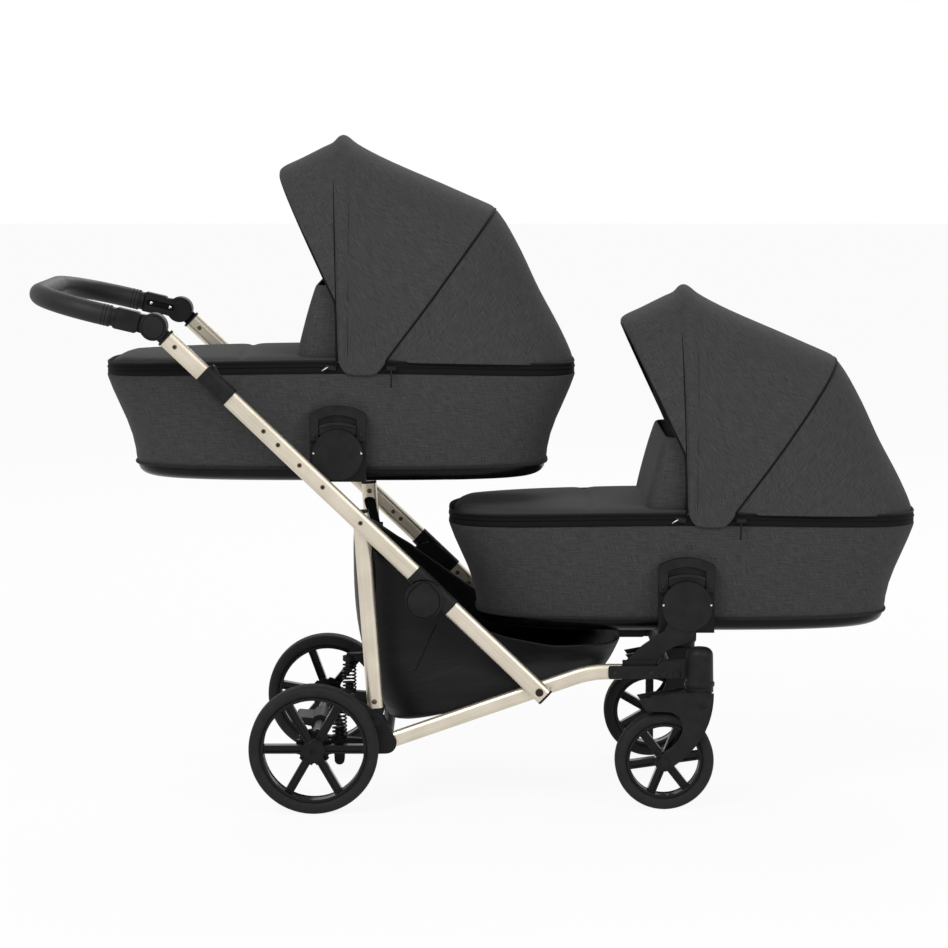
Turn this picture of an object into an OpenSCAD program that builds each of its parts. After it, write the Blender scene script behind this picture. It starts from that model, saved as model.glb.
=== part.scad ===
// Tandem twin pram: a folding tube frame with an upper and a lower carrycot.
// +X is the way the pram rolls, +Y its left side, +Z up, with the origin on the ground below its middle.

/* [Stance] */
// Distance between the planes of the two main tubes
tube_spacing = 498; // [490:1:520]
// Distance between the planes of the two lower rails
rail_spacing = 450; // [444:1:452]
// Distance between the middles of the rear wheels
rear_track = 544; // [540:1:580]
// Distance between the middles of the front wheels
front_track = 472; // [466:1:490]
// Rear axle, along the pram
rear_axle_x = -284; // [-300:1:-270]
// Front axle, along the pram
front_axle_x = 339; // [330:1:350]
// Caster swivel axis, along the pram
swivel_x = 401; // [395:1:410]

/* [Main tubes] */
// Handle pivot, along the pram
handle_pivot_x = -561; // [-580:1:-540]
// Handle pivot, above the ground
handle_pivot_z = 862; // [840:1:890]
// Pivot of the brace tube on the lower rail, along the pram
brace_foot_x = 116; // [100:1:130]
// Height of the main tube's section
tube_tall = 32; // [28:0.5:36]
// Width of the main tube's section
tube_wide = 18; // [16:0.5:20]
// Wall of every tube
tube_wall = 1.6; // [1.2:0.1:2.4]
// Fold hub's pivot, measured down the tube from the handle pivot
hub_from_handle = 675; // [660:1:690]
// Fold hub's pivot, below the tube's axis
hub_drop = 21; // [19:0.5:23]
// Radius of the fold hub
hub_r = 34; // [31:0.5:38]
// Length of each sleeve that holds a tube in the fold hub
hub_sleeve = 46; // [44:1:56]
// Top pivot of the rear leg, measured down the tube from the handle pivot
leg_top_from_handle = 500; // [485:1:515]
// Gap between the handle tube and the main tube, measured down the tube
tube_break = 150; // [144:1:158]
// Length of the fold-release slider
slider_len = 65; // [55:1:75]
// Wall of the fold-release slider
slider_wall = 3; // [2.5:0.1:4]

/* [Rails and legs] */
// Rear end of the lower rail, along the pram
rail_rear_x = -157; // [-162:1:-152]
// Rear end of the lower rail, above the ground
rail_rear_z = 118; // [112:1:124]
// Rise of the lower rail, in degrees
rail_slope = 19.2; // [17:0.1:21]
// Height of the level front end of the lower rail
rail_level_z = 245; // [238:1:250]
// Radius of the rail's bend
rail_bend_r = 185; // [150:1:220]
// Height of the lower rail's section
rail_tall = 28; // [24:0.5:31]
// Width of the lower rail's and the leg's section
rail_wide = 18; // [15:0.5:20]
// Foot pivot of the rear leg, along the pram
leg_foot_x = -174; // [-180:1:-168]
// Foot pivot of the rear leg, above the ground
leg_foot_z = 156; // [152:1:162]
// Depth of the rear leg's section
leg_tall = 29; // [25:0.5:32]

/* [Handle] */
// Handle pivot to the middle of the cross bar
handle_reach = 222; // [210:1:260]
// Slope of the handle above the horizontal, in degrees
handle_rise = 13.3; // [0:0.1:25]
// Diameter of the padded grip
grip_d = 38; // [34:0.5:42]
// Diameter of the bar inside the grip
bar_d = 25; // [22:0.5:27]
// Radius of the handle's two bends
handle_bend_r = 128; // [80:1:140]
// Radius of the handle's tilting hubs
tilt_hub_r = 24; // [20:0.5:26]

/* [Wheels] */
// Diameter of a rear wheel
rear_wheel_d = 230; // [215:1:240]
// Diameter of a front wheel
front_wheel_d = 176; // [166:1:180]
// Width of a rear tyre
rear_tyre_w = 42; // [36:1:46]
// Width of a front tyre
front_tyre_w = 38; // [34:1:40]
// Height of a tyre's section
tyre_h = 21; // [17:0.5:24]
// Spokes in a wheel
spokes = 6; // [5:1:7]
// Diameter of the rear axle
axle_d = 12; // [10:0.5:14]
// Diameter of the pivot pins and front axles
pin_d = 10; // [8:0.5:12]

/* [Carrycots] */
// Length of a carrycot at its rim
cot_len = 854; // [820:1:880]
// Width of a carrycot at its rim
cot_w = 390; // [380:1:394]
// Length of a carrycot at its base
base_len = 746; // [720:1:780]
// Width of a carrycot at its base
base_w = 344; // [330:1:350]
// Height of the fabric tub
cot_h = 169; // [155:1:180]
// Height of the plastic base
base_h = 25; // [20:1:26]
// Thickness of the tub's padded wall
cot_wall = 10; // [8:0.5:12]
// Thickness of the mattress
mattress_h = 40; // [30:1:50]
// Middle of the upper carrycot, along the pram
upper_cot_x = -242; // [-250:1:-232]
// Rim of the upper carrycot, above the ground
upper_rim_z = 772; // [768:1:790]
// Middle of the lower carrycot, along the pram
lower_cot_x = 380; // [372:1:388]
// Rim of the lower carrycot, above the ground
lower_rim_z = 500; // [496:1:510]
// Carrying disc's middle, below the carrycot's rim
seat_drop = 140; // [134:1:146]
// Radius of the carrying disc
seat_r = 45; // [40:1:48]

/* [Hoods] */
// Hood pivot, ahead of or behind the carrycot's middle
hood_pivot_x = 57; // [50:1:64]
// Hood pivot, above the rim
hood_pivot_z = 12; // [11:0.5:16]
// Height of the front bow above the rim
front_bow_h = 421; // [390:1:440]
// Reach of the visor ahead of the front bow
visor_reach = 107; // [90:1:120]
// Rear bow's top, behind the carrycot's middle
rear_bow_x = 286; // [270:1:300]
// Rear bow's top, above the rim
rear_bow_h = 287; // [270:1:300]
// Thickness of the hood's fabric
hood_cloth = 3; // [2:0.5:4]

/* [Clearances] */
// Radial clearance of every pivot
pivot_gap = 0.06; // [0.04:0.01:0.1]
// Side clearance between parts that turn past each other
side_gap = 0.5; // [0.4:0.1:0.8]
// Gap between soft parts and what they rest on
soft_gap = 0.4; // [0.3:0.1:0.6]

/* [Hidden] */
$fn = 48;

champagne = [0.78, 0.73, 0.64];
black_plastic = [0.12, 0.12, 0.13];
gloss_black = [0.06, 0.06, 0.07];
rubber_black = [0.09, 0.09, 0.09];
heather = [0.24, 0.24, 0.25];
leatherette = [0.1, 0.1, 0.1];
basket_black = [0.08, 0.08, 0.08];
steel = [0.6, 0.6, 0.62];
mattress_white = [0.9, 0.9, 0.88];

// Planes across the pram, all on its left side
tube_y = tube_spacing / 2;
tube_in = tube_y - tube_wide / 2;
tube_out = tube_y + tube_wide / 2;
rail_y = rail_spacing / 2;
rail_in = rail_y - rail_wide / 2;
rail_out = rail_y + rail_wide / 2;
cheek_t = 5;
rear_wheel_y = rear_track / 2;
front_wheel_y = front_track / 2;

// Points in the side view, as [x, z]
handle_pivot = [handle_pivot_x, handle_pivot_z];
rail_rear = [rail_rear_x, rail_rear_z];
rail_dir = [cos(rail_slope), sin(rail_slope)];
brace_foot = rail_rear + rail_dir * (brace_foot_x - rail_rear_x) / cos(rail_slope);
leg_foot = [leg_foot_x, leg_foot_z];
rear_axle = [rear_axle_x, rear_wheel_d / 2];
front_axle = [front_axle_x, front_wheel_d / 2];
tube_dir = (brace_foot - handle_pivot) / norm(brace_foot - handle_pivot);
tube_normal = [-tube_dir.y, tube_dir.x];
tube_end = norm(brace_foot - handle_pivot);
function on_tube(t, v = 0) = handle_pivot + tube_dir * t + tube_normal * v;
hub = on_tube(hub_from_handle, -hub_drop);
leg_top = on_tube(leg_top_from_handle);
leg_dir = (leg_top - leg_foot) / norm(leg_top - leg_foot);
function on_leg(t) = leg_foot + leg_dir * t;
swing_pivot = rail_rear + [-34, -6];
spring_foot = [-240, 131];
spring_head = [-240, 186];
bend_tangent = rail_bend_r * tan(rail_slope / 2);
rail_corner_x = rail_rear_x + (rail_level_z - rail_rear_z) / tan(rail_slope);
bend_start = [rail_corner_x, rail_level_z] - rail_dir * bend_tangent;
bend_end = [rail_corner_x + bend_tangent, rail_level_z];
clamp_grip = 24;
rail_front = bend_end + [clamp_grip, 0];

// A carrycot's side, where its bracket and the frame's carrying disc meet
cot_side = max(cot_w, base_w) / 2;
bracket_out = cot_side + 10;
bracket_plate_out = cot_side + 1.5;
seat_in = bracket_out + 1;
seat_t = 12;
tongue_w = 34;
tongue_up = 24;
tongue_down = 6;
function cot_seat(x, rim) = [x, rim - seat_drop];

// Puts its children on the left side and mirrors them to the right one
module pair() {
  children();
  mirror([0, 1, 0]) children();
}

// Puts its children on one side: 1 for left, -1 for right
module on_side(side) {
  if (side > 0) children();
  else mirror([0, 1, 0]) children();
}

// Extrudes a side-view outline across the pram
module along_y(y0, y1) translate([0, y1, 0]) rotate([90, 0, 0]) linear_extrude(y1 - y0) children();

// A disc or pin across the pram
module pin_y(p, r, y0, y1) along_y(y0, y1) translate(p) circle(r);

// A section swept straight between two points of the side view
module bar(p, q, y) {
  d = q - p;
  translate([p.x, y, p.y]) rotate([0, -atan2(d.y, d.x), 0]) rotate([90, 0, 90])
    linear_extrude(norm(d)) children();
}

// A flat-oval section, and the same as a tube
module oval(wide, tall) {
  square([wide, tall - wide], center = true);
  for (s = [-1, 1]) translate([0, s * (tall - wide) / 2]) circle(d = wide);
}

module oval_tube(wide, tall) difference() {
  oval(wide, tall);
  oval(wide - 2 * tube_wall, tall - 2 * tube_wall);
}

// A link's outline: two round ends joined by their tangents
module link(p, r, q, s) {
  d = q - p;
  a = atan2(d.y, d.x);
  t = acos((r - s) / norm(d));
  left = [cos(a + t), sin(a + t)];
  right = [cos(a - t), sin(a - t)];
  translate(p) circle(r);
  translate(q) circle(s);
  polygon([p + r * left, q + s * left, q + s * right, p + r * right]);
}

// A rectangle with round corners
module round_rect(size, r) {
  square([size.x - 2 * r, size.y], center = true);
  square([size.x, size.y - 2 * r], center = true);
  for (i = [-1, 1], j = [-1, 1])
    translate([i * (size.x / 2 - r), j * (size.y / 2 - r)]) circle(r);
}

// Points of a cubic curve
function curve(a, b, c, d, n = 10) = [
  for (i = [0:n]) let (t = i / n, u = 1 - t)
    u * u * u * a + 3 * u * u * t * b + 3 * u * t * t * c + t * t * t * d
];

// A closed skin through rings of points, capped at both ends
module loft(rings) {
  n = len(rings[0]);
  m = len(rings);
  sides = [
    for (i = [0:m - 2], j = [0:n - 1]) let (k = (j + 1) % n)
      [i * n + j, (i + 1) * n + j, (i + 1) * n + k, i * n + k]
  ];
  start = [for (j = [0:n - 1]) j];
  end = [for (j = [n - 1:-1:0]) (m - 1) * n + j];
  polyhedron([for (r = rings) each r], concat([start], sides, [end]), convexity = 8);
}

// A closed thick sheet between an outer and an inner grid of points
module sheet(outer, inner) {
  m = len(outer);
  n = len(outer[0]);
  o = m * n;
  skins = [
    for (i = [0:m - 2], j = [0:n - 2]) each [
      [i * n + j, (i + 1) * n + j, (i + 1) * n + j + 1, i * n + j + 1],
      [o + i * n + j, o + i * n + j + 1, o + (i + 1) * n + j + 1, o + (i + 1) * n + j]
    ]
  ];
  ends = [
    for (j = [0:n - 2]) each [
      [j, j + 1, o + j + 1, o + j],
      [(m - 1) * n + j, o + (m - 1) * n + j, o + (m - 1) * n + j + 1, (m - 1) * n + j + 1]
    ]
  ];
  edges = [
    for (i = [0:m - 2]) each [
      [i * n, o + i * n, o + (i + 1) * n, (i + 1) * n],
      [i * n + n - 1, (i + 1) * n + n - 1, o + (i + 1) * n + n - 1, o + i * n + n - 1]
    ]
  ];
  polyhedron(
    concat([for (r = outer) each r], [for (r = inner) each r]),
    concat(skins, ends, edges), convexity = 8
  );
}

// Lower frame

module lower_rails() color(champagne) pair() {
  bar(rail_rear, bend_start, rail_y) oval_tube(rail_wide, rail_tall);
  translate([bend_end.x, rail_y, bend_end.y - rail_bend_r]) rotate([90, 0, 0]) rotate([0, 0, 90])
    rotate_extrude(angle = rail_slope, $fn = 96)
      translate([rail_bend_r, 0]) rotate(90) oval_tube(rail_wide, rail_tall);
  bar(bend_end, rail_front, rail_y) oval_tube(rail_wide, rail_tall);
}

boss_r = 19;
leg_eye_r = 13;
swing_eye_r = 12;
spring_r = 12;
seat_cap_r = 13;
horn = spring_head + [2 * spring_r, 8];

// Outline of a rear bracket's cheek: leg clevis, rail socket, swing-arm clevis and spring horn
module bracket_cheek() {
  link(leg_foot, leg_eye_r + 2, rail_rear, boss_r);
  link(rail_rear, boss_r, swing_pivot, swing_eye_r + 2);
  link(leg_foot, leg_eye_r + 2, horn, 9);
}

module rear_brackets() color(black_plastic) pair() difference() {
  union() {
    along_y(rail_in - cheek_t, rail_in) bracket_cheek();
    along_y(rail_out, rail_out + cheek_t) bracket_cheek();
    along_y(rail_in, rail_out) {
      translate(rail_rear) circle(boss_r);
      link(spring_head + [0, 8], 7, horn, 7);
    }
    translate([spring_head.x, rail_y, spring_head.y]) cylinder(r = seat_cap_r, h = 9);
    translate([spring_head.x, rail_y, spring_head.y - 12]) cylinder(r = spring_r - 4, h = 14);
  }
  bar(rail_rear, rail_rear + rail_dir * 2 * boss_r, rail_y) oval(rail_wide, rail_tall);
  pin_y(leg_foot, pin_d / 2, rail_in - 2 * cheek_t, rail_out + 2 * cheek_t);
  pin_y(swing_pivot, pin_d / 2, rail_in - 2 * cheek_t, rail_out + 2 * cheek_t);
}

crossbar_d = 22;
front_bar = [bend_end.x + 104, rail_level_z];

module crossbars() color(black_plastic) {
  span = [[rail_rear, rail_in - cheek_t], [front_bar, clamp_in]];
  for (s = span) along_y(-s[1], s[1]) translate(s[0]) difference() {
    circle(d = crossbar_d);
    circle(d = crossbar_d - 2 * tube_wall);
  }
}

clamp_wall = 3.5;
clamp_in = rail_in - clamp_wall;
clamp_out = rail_out + clamp_wall;
clamp_tall = rail_tall - 5;
clamp_len = 88;
neck_z = [rail_level_z - clamp_tall / 2, rail_level_z + clamp_tall / 2 + 9];
riser_from = clamp_grip + 2;
riser_foot = 60;

// Front clamp: sleeve on the rail's end and the neck that carries the caster housing
module front_clamps() color(black_plastic) pair() difference() {
  union() {
    along_y(clamp_in, clamp_out) translate([bend_end.x + clamp_len / 2, rail_level_z])
      round_rect([clamp_len, clamp_tall], 4);
    along_y(clamp_in, clamp_out) polygon([
      [bend_end.x + clamp_len - 8, neck_z[0] + 2], [swivel_x - housing_r - 6, neck_z[0]],
      [swivel_x - housing_r - 6, neck_z[1]], [bend_end.x + clamp_len + 6, neck_z[1]],
      [bend_end.x + clamp_len, neck_z[1] - 9], [bend_end.x + clamp_len - 8, neck_z[1] - 10]
    ]);
    // two round ribs beside the neck's bolts
    for (x = [bend_end.x + clamp_len + 10, swivel_x - housing_r - 14])
      pin_y([x, rail_level_z - 3], 7, clamp_in, clamp_out + 2);
  }
  bar(bend_end - [1, 0], rail_front, rail_y) oval(rail_wide, rail_tall);
}

housing_r = 27;
housing_low = front_wheel_d + 46;
housing_top = housing_low + 75;
crown_drop = 8;
stem_d = 16;
stem_up = 56;

// Swivel housing: a tapered tower with a domed cap and a blind bore for the caster's stem
module caster_housings() color(black_plastic) pair() difference() {
  union() {
    translate([swivel_x, front_wheel_y, 0]) rotate_extrude() {
      polygon([
        [0, housing_low], [housing_r, housing_low], [housing_r, housing_low + 6],
        [housing_r - 2, housing_low + 8], [housing_r - 3, housing_top - 20], [0, housing_top - 20]
      ]);
      intersection() {
        translate([housing_r - 3 - 14, housing_top - 20]) circle(14);
        translate([0, housing_top - 20]) square([housing_r, 20]);
      }
      translate([0, housing_top - 20]) square([housing_r - 3 - 14, 14]);
    }
    // the neck's mating block
    along_y(clamp_in, clamp_out) translate([swivel_x - housing_r - 6, neck_z[0]])
      square([housing_r + 6, neck_z[1] - neck_z[0]]);
  }
  translate([swivel_x, front_wheel_y, housing_low - 1]) cylinder(d = stem_d + 2 * pivot_gap, h = stem_up + 2);
}

// Flat outline of a riser, from the clamp up to the carrying disc
module riser_outline() {
  seat = cot_seat(lower_cot_x, lower_rim_z);
  top = rail_level_z + clamp_tall / 2;
  foot = bend_end.x + riser_from;
  polygon(concat(
    [[foot, top], [foot + riser_foot, top]],
    curve(
      [seat.x - 44, top + 16], [seat.x - 34, top + 28], [seat.x - 22, top + 33], [seat.x - 8, top + 36], 6
    ),
    [
      [seat.x + 16, housing_top + 3], [seat.x + 18, seat.y], [seat.x - 30, seat.y - 24],
      [seat.x - 42, seat.y - 44], [foot + 36, top + 34]
    ]
  ));
}

// Disc, with the wedge tongue that a carrycot's bracket drops over
module carrying_disc(seat) {
  pin_y(seat, seat_r, seat_in, seat_in + seat_t);
  along_y(seat_in - 8, seat_in) polygon([
    seat + [-tongue_w / 2, -tongue_down], seat + [tongue_w / 2, -tongue_down],
    seat + [tongue_w / 2 - 3, tongue_up], seat + [-tongue_w / 2 + 3, tongue_up]
  ]);
}

module cot_risers() color(black_plastic) pair() {
  seat = cot_seat(lower_cot_x, lower_rim_z);
  carrying_disc(seat);
  along_y(seat_in + 3, seat_in + seat_t - 0.6) riser_outline();
  // foot on the clamp
  along_y(min(seat_in + 3, clamp_in), rail_y)
    translate([bend_end.x + riser_from, rail_level_z + clamp_tall / 2]) square([riser_foot, 7]);
}

module frame_pins() color(steel) pair() {
  for (p = [leg_foot, swing_pivot]) {
    pin_y(p, pin_d / 2, rail_in - cheek_t - 2, rail_out + cheek_t);
    pin_y(p, pin_d / 2 + 2, rail_out + cheek_t, rail_out + cheek_t + 2.5);
  }
  pin_y(brace_foot, pin_d / 2, rail_out, tube_out + 1);
  pin_y(brace_foot, pin_d / 2 + 2, tube_out + 1, tube_out + 3);
  // bolts of the front clamp
  for (x = [bend_end.x + 12, bend_end.x + clamp_len - 12])
    pin_y([x, rail_level_z], 4, clamp_out, clamp_out + 2);
}

// Shopping basket: a sagging tub between the rails, open at the top
basket_y = rail_in - soft_gap;
basket_t = 4;
function basket_floor(x) = rail_rear_z + 20 + (x - rail_rear_x) * (rail_level_z - rail_rear_z - 22) / 450;
basket_back_top = 480;
basket_mid_top = 315;
basket_front_top = 288;
basket_mid_x = 20;
function basket_top(x) = x < basket_mid_x
  ? lerp(basket_back_top, basket_mid_top, (x - basket_mid_x) / 225 + 1)
  : lerp(basket_mid_top, basket_front_top, min(1, (x - basket_mid_x) / 120));
function lerp(a, b, t) = a + (b - a) * t;
function side_power(v, e) = sign(v) * pow(abs(v), e);

// One ring of the basket: at level f from its floor (0) to its top (1), drawn in by inset
function basket_ring(f, inset, lift = 0) = [
  for (i = [0:35]) let (
    a = i * 10,
    x = lerp(38, 38 - 14 * f, f) + (lerp(192, 246, f) - inset) * side_power(cos(a), 0.45),
    y = (basket_y - inset - 12 * sin(max(0, f - 0.3) * 257)) * side_power(sin(a), 0.4)
  ) [x, y, lerp(basket_floor(x), basket_top(x), f) + lift]
];

module basket() color(basket_black) loft([
  basket_ring(0, 12), basket_ring(0.03, 0), basket_ring(0.3, 0), basket_ring(0.65, 0), basket_ring(1, 0),
  basket_ring(1, basket_t), basket_ring(0.65, basket_t), basket_ring(0.3, basket_t),
  basket_ring(0.03, basket_t), basket_ring(0, 12 + basket_t, basket_t)
]);

spring_turns = 5;
spring_wire = 3.2;
spring_steps = 12;

module suspension_springs() color(gloss_black) pair() {
  low = spring_foot.y + spring_wire / 2 + soft_gap;
  high = spring_head.y - spring_wire / 2 - 0.1;
  n = spring_turns * spring_steps;
  translate([spring_foot.x, rail_y, 0]) loft([
    for (i = [n:-1:0]) let (a = i * 360 / spring_steps, z = lerp(low, high, i / n)) [
      for (j = [0:5]) let (r = spring_r + spring_wire / 2 * cos(j * 60))
        [r * cos(a), r * sin(a), z + spring_wire / 2 * sin(j * 60)]
    ]
  ]);
}

// Rear legs

leg_foot_gap = 24;
leg_over = 14;

module leg_tubes() color(champagne) pair()
  bar(on_leg(leg_foot_gap), on_leg(norm(leg_top - leg_foot) + leg_over), rail_y)
    oval_tube(rail_wide, leg_tall);

// Foot eye with its plug, and the top cap with the boss that meets the main tube
module leg_fittings() color(black_plastic) pair() {
  top = norm(leg_top - leg_foot) + leg_over;
  difference() {
    union() {
      pin_y(leg_foot, leg_eye_r, rail_in + side_gap, rail_out - side_gap);
      along_y(rail_in + 1, rail_out - 1)
        link(leg_foot, leg_eye_r - 1, on_leg(leg_foot_gap - leg_eye_r), leg_eye_r - 1);
      bar(on_leg(leg_foot_gap - 8), on_leg(leg_foot_gap + 20), rail_y)
        oval(rail_wide - 2 * tube_wall, leg_tall - 2 * tube_wall);
    }
    pin_y(leg_foot, pin_d / 2 + pivot_gap, rail_in, rail_out);
  }
  bar(on_leg(top), on_leg(top + 5), rail_y) oval(rail_wide, leg_tall);
  pin_y(leg_top, 9, rail_out, tube_in - side_gap);
}

// Brace tubes, with the fork half of the fold hub

brace_over = 12;
sleeve_wall = 1.5;
plug_in = 22;
hub_cheek = 5.5;
hub_half = tube_wide / 2 + 4;
tongue_half = hub_half - hub_cheek - side_gap;
hub_pin_r = 6;
hub_clear = 2;

// Round notch in a tube's end, clear of the hub's discs
module hub_notch() pin_y(hub, hub_r + hub_clear + side_gap, tube_in - 1, tube_out + 1);

module brace_tubes() color(champagne) pair() difference() {
  bar(on_tube(hub_from_handle + hub_sleeve - plug_in), on_tube(tube_end + brace_over), tube_y)
    oval_tube(tube_wide, tube_tall);
  hub_notch();
  pin_y(brace_foot, pin_d / 2 + pivot_gap, tube_in - 1, tube_out + 1);
}

module brace_hubs() color(black_plastic) pair() {
  difference() {
    union() {
      bar(on_tube(hub_from_handle + side_gap), on_tube(hub_from_handle + hub_sleeve), tube_y)
        oval(tube_wide + 2 * sleeve_wall, tube_tall + 2 * sleeve_wall);
      pin_y(hub, hub_r, tube_y - hub_half, tube_y - hub_half + hub_cheek);
      pin_y(hub, hub_r, tube_y + hub_half - hub_cheek, tube_y + hub_half);
    }
    pin_y(hub, hub_r + 1, tube_y - hub_half + hub_cheek, tube_y + hub_half - hub_cheek);
    along_y(tube_y + hub_half - cover_sink, tube_y + hub_half + 1) hub_cover(1.5);
    bar(on_tube(hub_from_handle + hub_sleeve - plug_in), on_tube(hub_from_handle + hub_sleeve + 1), tube_y)
      oval(tube_wide, tube_tall);
  }
  pin_y(hub, hub_pin_r, tube_y - hub_half, tube_y + hub_half);
  along_y(tube_y + hub_half - cover_sink - 1, tube_y + hub_half + 2) hub_cover(0);
}

// Egg-shaped outline of the hub's cover, and of the groove round it
cover_sink = 1.2;
module hub_cover(grow)
  link(hub + [-1, -3], hub_r - 6 + grow, hub + [1, hub_r - 15], hub_r - 22 + grow);

module brace_caps() color(black_plastic) pair() {
  end = tube_end + brace_over;
  bar(on_tube(end), on_tube(end + 4), tube_y) oval(tube_wide, tube_tall);
  bar(on_tube(end - 6), on_tube(end + 1), tube_y) oval(tube_wide - 2 * tube_wall, tube_tall - 2 * tube_wall);
}

// Main tubes, with the tongue half of the fold hub

tube_gap = 4;

module main_tubes() color(champagne) pair() difference() {
  bar(on_tube(tube_break + tube_gap / 2), on_tube(hub_from_handle - hub_sleeve + plug_in), tube_y)
    oval_tube(tube_wide, tube_tall);
  hub_notch();
}

module main_hubs() color(black_plastic) pair() difference() {
  union() {
    pin_y(hub, hub_r - 1, tube_y - tongue_half, tube_y + tongue_half);
    difference() {
      bar(on_tube(hub_from_handle - hub_sleeve), on_tube(hub_from_handle - side_gap), tube_y)
        oval(tube_wide + 2 * sleeve_wall, tube_tall + 2 * sleeve_wall);
      pin_y(hub, hub_r + hub_clear, tube_y - hub_half - 1, tube_y - tongue_half);
      pin_y(hub, hub_r + hub_clear, tube_y + tongue_half, tube_y + hub_half + 1);
    }
  }
  bar(on_tube(hub_from_handle - hub_sleeve - 1), on_tube(hub_from_handle - hub_sleeve + plug_in), tube_y)
    oval(tube_wide, tube_tall);
  pin_y(hub, hub_pin_r + pivot_gap, tube_y - hub_half, tube_y + hub_half);
}

socket_len = 31;
collar_from = tilt_hub_r + 2.5;
spigot_len = 70;
spigot_gap = 0.1;

// Upper tube, with the spigot that slides into the main tube
module handle_tubes() color(champagne) pair() {
  bar(on_tube(socket_len), on_tube(tube_break - tube_gap / 2), tube_y) oval_tube(tube_wide, tube_tall);
  bar(on_tube(tube_break - 20), on_tube(tube_break - tube_gap), tube_y)
    oval(tube_wide - tube_wall, tube_tall - tube_wall);
  bar(on_tube(tube_break - 18), on_tube(tube_break + spigot_len), tube_y)
    oval(tube_wide - 2 * tube_wall - 2 * spigot_gap, tube_tall - 2 * tube_wall - 2 * spigot_gap);
}

tilt_face = tube_y + 1.5;
tilt_out = tube_out + 7;
button_r = tilt_hub_r - 5;
button_pocket = 6;
button_travel = 3.5;

// Fixed half of a tilting hub: outer disc with the button's pocket, pivot pin, and a plug for the tube
module handle_sockets() color(black_plastic) pair() {
  difference() {
    union() {
      pin_y(handle_pivot, tilt_hub_r, tilt_face, tilt_out);
      along_y(tilt_face, tube_out) polygon([
        on_tube(0, 3 - tube_tall / 2), on_tube(collar_from + 1, 3 - tube_tall / 2),
        on_tube(collar_from + 1, tube_tall / 2 - 3), on_tube(0, tube_tall / 2 - 3)
      ]);
      bar(on_tube(collar_from), on_tube(socket_len), tube_y)
        oval(tube_wide + 2 * sleeve_wall, tube_tall + 2 * sleeve_wall);
      bar(on_tube(socket_len), on_tube(socket_len + 24), tube_y)
        oval(tube_wide - 2 * tube_wall, tube_tall - 2 * tube_wall);
    }
    pin_y(handle_pivot, button_r + 0.4, tilt_out - button_pocket, tilt_out + 1);
  }
  pin_y(handle_pivot, hub_pin_r, arm_in, tilt_face);
}

// Adapter of the upper carrycot: a carrying disc on a bracket that is riveted to the main tube
module cot_adapters() color(black_plastic) pair() {
  seat = cot_seat(upper_cot_x, upper_rim_z);
  along = (seat - handle_pivot) * tube_dir;
  carrying_disc(seat);
  along_y(seat_in + 2, seat_in + seat_t - 2) link(seat, seat_r - 10, on_tube(along), tube_tall / 2 - 1);
  pin_y(on_tube(along), tube_tall / 2 - 1, seat_in + 2, tube_in);
}

rivet_r = 4;
rivets_out = [265, 300, 352, 408];
rivets_in = [445, leg_top_from_handle + 62, leg_top_from_handle + 82];

module tube_rivets() color(steel) pair() {
  for (t = concat([socket_len + 20], rivets_out, [leg_top_from_handle]))
    pin_y(on_tube(t), rivet_r, tube_out, tube_out + 1.5);
  for (t = concat([socket_len + 20], rivets_in))
    pin_y(on_tube(t), rivet_r, tube_in - 1.5, tube_in);
}

slider_travel = 15;

// Fold-release slider: a sleeve with a finger lip
module fold_slider(side) color(black_plastic) on_side(side) {
  from = tube_break - slider_len / 2;
  bar(on_tube(from), on_tube(from + slider_len), tube_y) difference() {
    oval(tube_wide + 2 * slider_wall, tube_tall + 2 * slider_wall);
    oval(tube_wide + 2 * side_gap, tube_tall + 2 * side_gap);
  }
  lip = tube_tall / 2 + slider_wall;
  along_y(tube_y - 6, tube_y + 6) polygon([
    on_tube(from + 12, lip - 2), on_tube(from + 3, lip + 4), on_tube(from + 7, lip + 5),
    on_tube(from + 30, lip - 2)
  ]);
}

// Handle

arm_t = 20;
arm_tall = grip_d - 0.5;
arm_pad = 5;
arm_in = tilt_face - side_gap - arm_t;
arm_y = arm_in + arm_t / 2;
arm_len = 84;
handle_dir = [-cos(handle_rise), sin(handle_rise)];

// Puts its children from the handle's own plane, pivot at the origin, into the pram
module in_handle() translate([handle_pivot_x, 0, handle_pivot_z]) rotate([0, handle_rise, 0]) children();

// A ring section swept round the handle's U, from a start distance behind the pivot
module handle_sweep(start, r_out, r_in) {
  module ring() difference() {
    circle(r_out);
    circle(r_in);
  }
  straight = handle_reach - handle_bend_r;
  pair() {
    translate([-start, arm_y, 0]) rotate([0, -90, 0]) linear_extrude(straight - start) ring();
    translate([-straight, arm_y - handle_bend_r, 0]) rotate([0, 0, 90])
      rotate_extrude(angle = 90, $fn = 96) translate([handle_bend_r, 0]) ring();
  }
  half = arm_y - handle_bend_r;
  translate([-handle_reach, half, 0]) rotate([90, 0, 0]) linear_extrude(2 * half) ring();
}

// Bar with its two moulded arms; each arm has a slot on its inner face and a collar where the grip ends
module handle_bar() color(black_plastic) in_handle() {
  root = tilt_hub_r + 3;
  handle_sweep(arm_len - 14, bar_d / 2, bar_d / 2 - tube_wall);
  pair() difference() {
    union() {
      pin_y([0, 0], tilt_hub_r, arm_in, arm_in + arm_t);
      along_y(arm_in, arm_in + arm_t) link([0, 0], tilt_hub_r - 6, [-root - 14, 0], arm_tall / 2 - 4);
      along_y(arm_in, arm_in + arm_t + arm_pad) translate([-(root + arm_len - 12) / 2, 0])
        round_rect([arm_len - 12 - root, arm_tall], 6);
      translate([14 - arm_len, arm_y, 0]) rotate([0, -90, 0]) cylinder(d = grip_d - 4, h = 8);
    }
    along_y(arm_in - 1, arm_in + 3) link([-15, 0], 6, [-arm_len + 26, 0], 6);
    pin_y([0, 0], hub_pin_r + pivot_gap, arm_in - 1, arm_in + arm_t + 1);
  }
}

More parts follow.
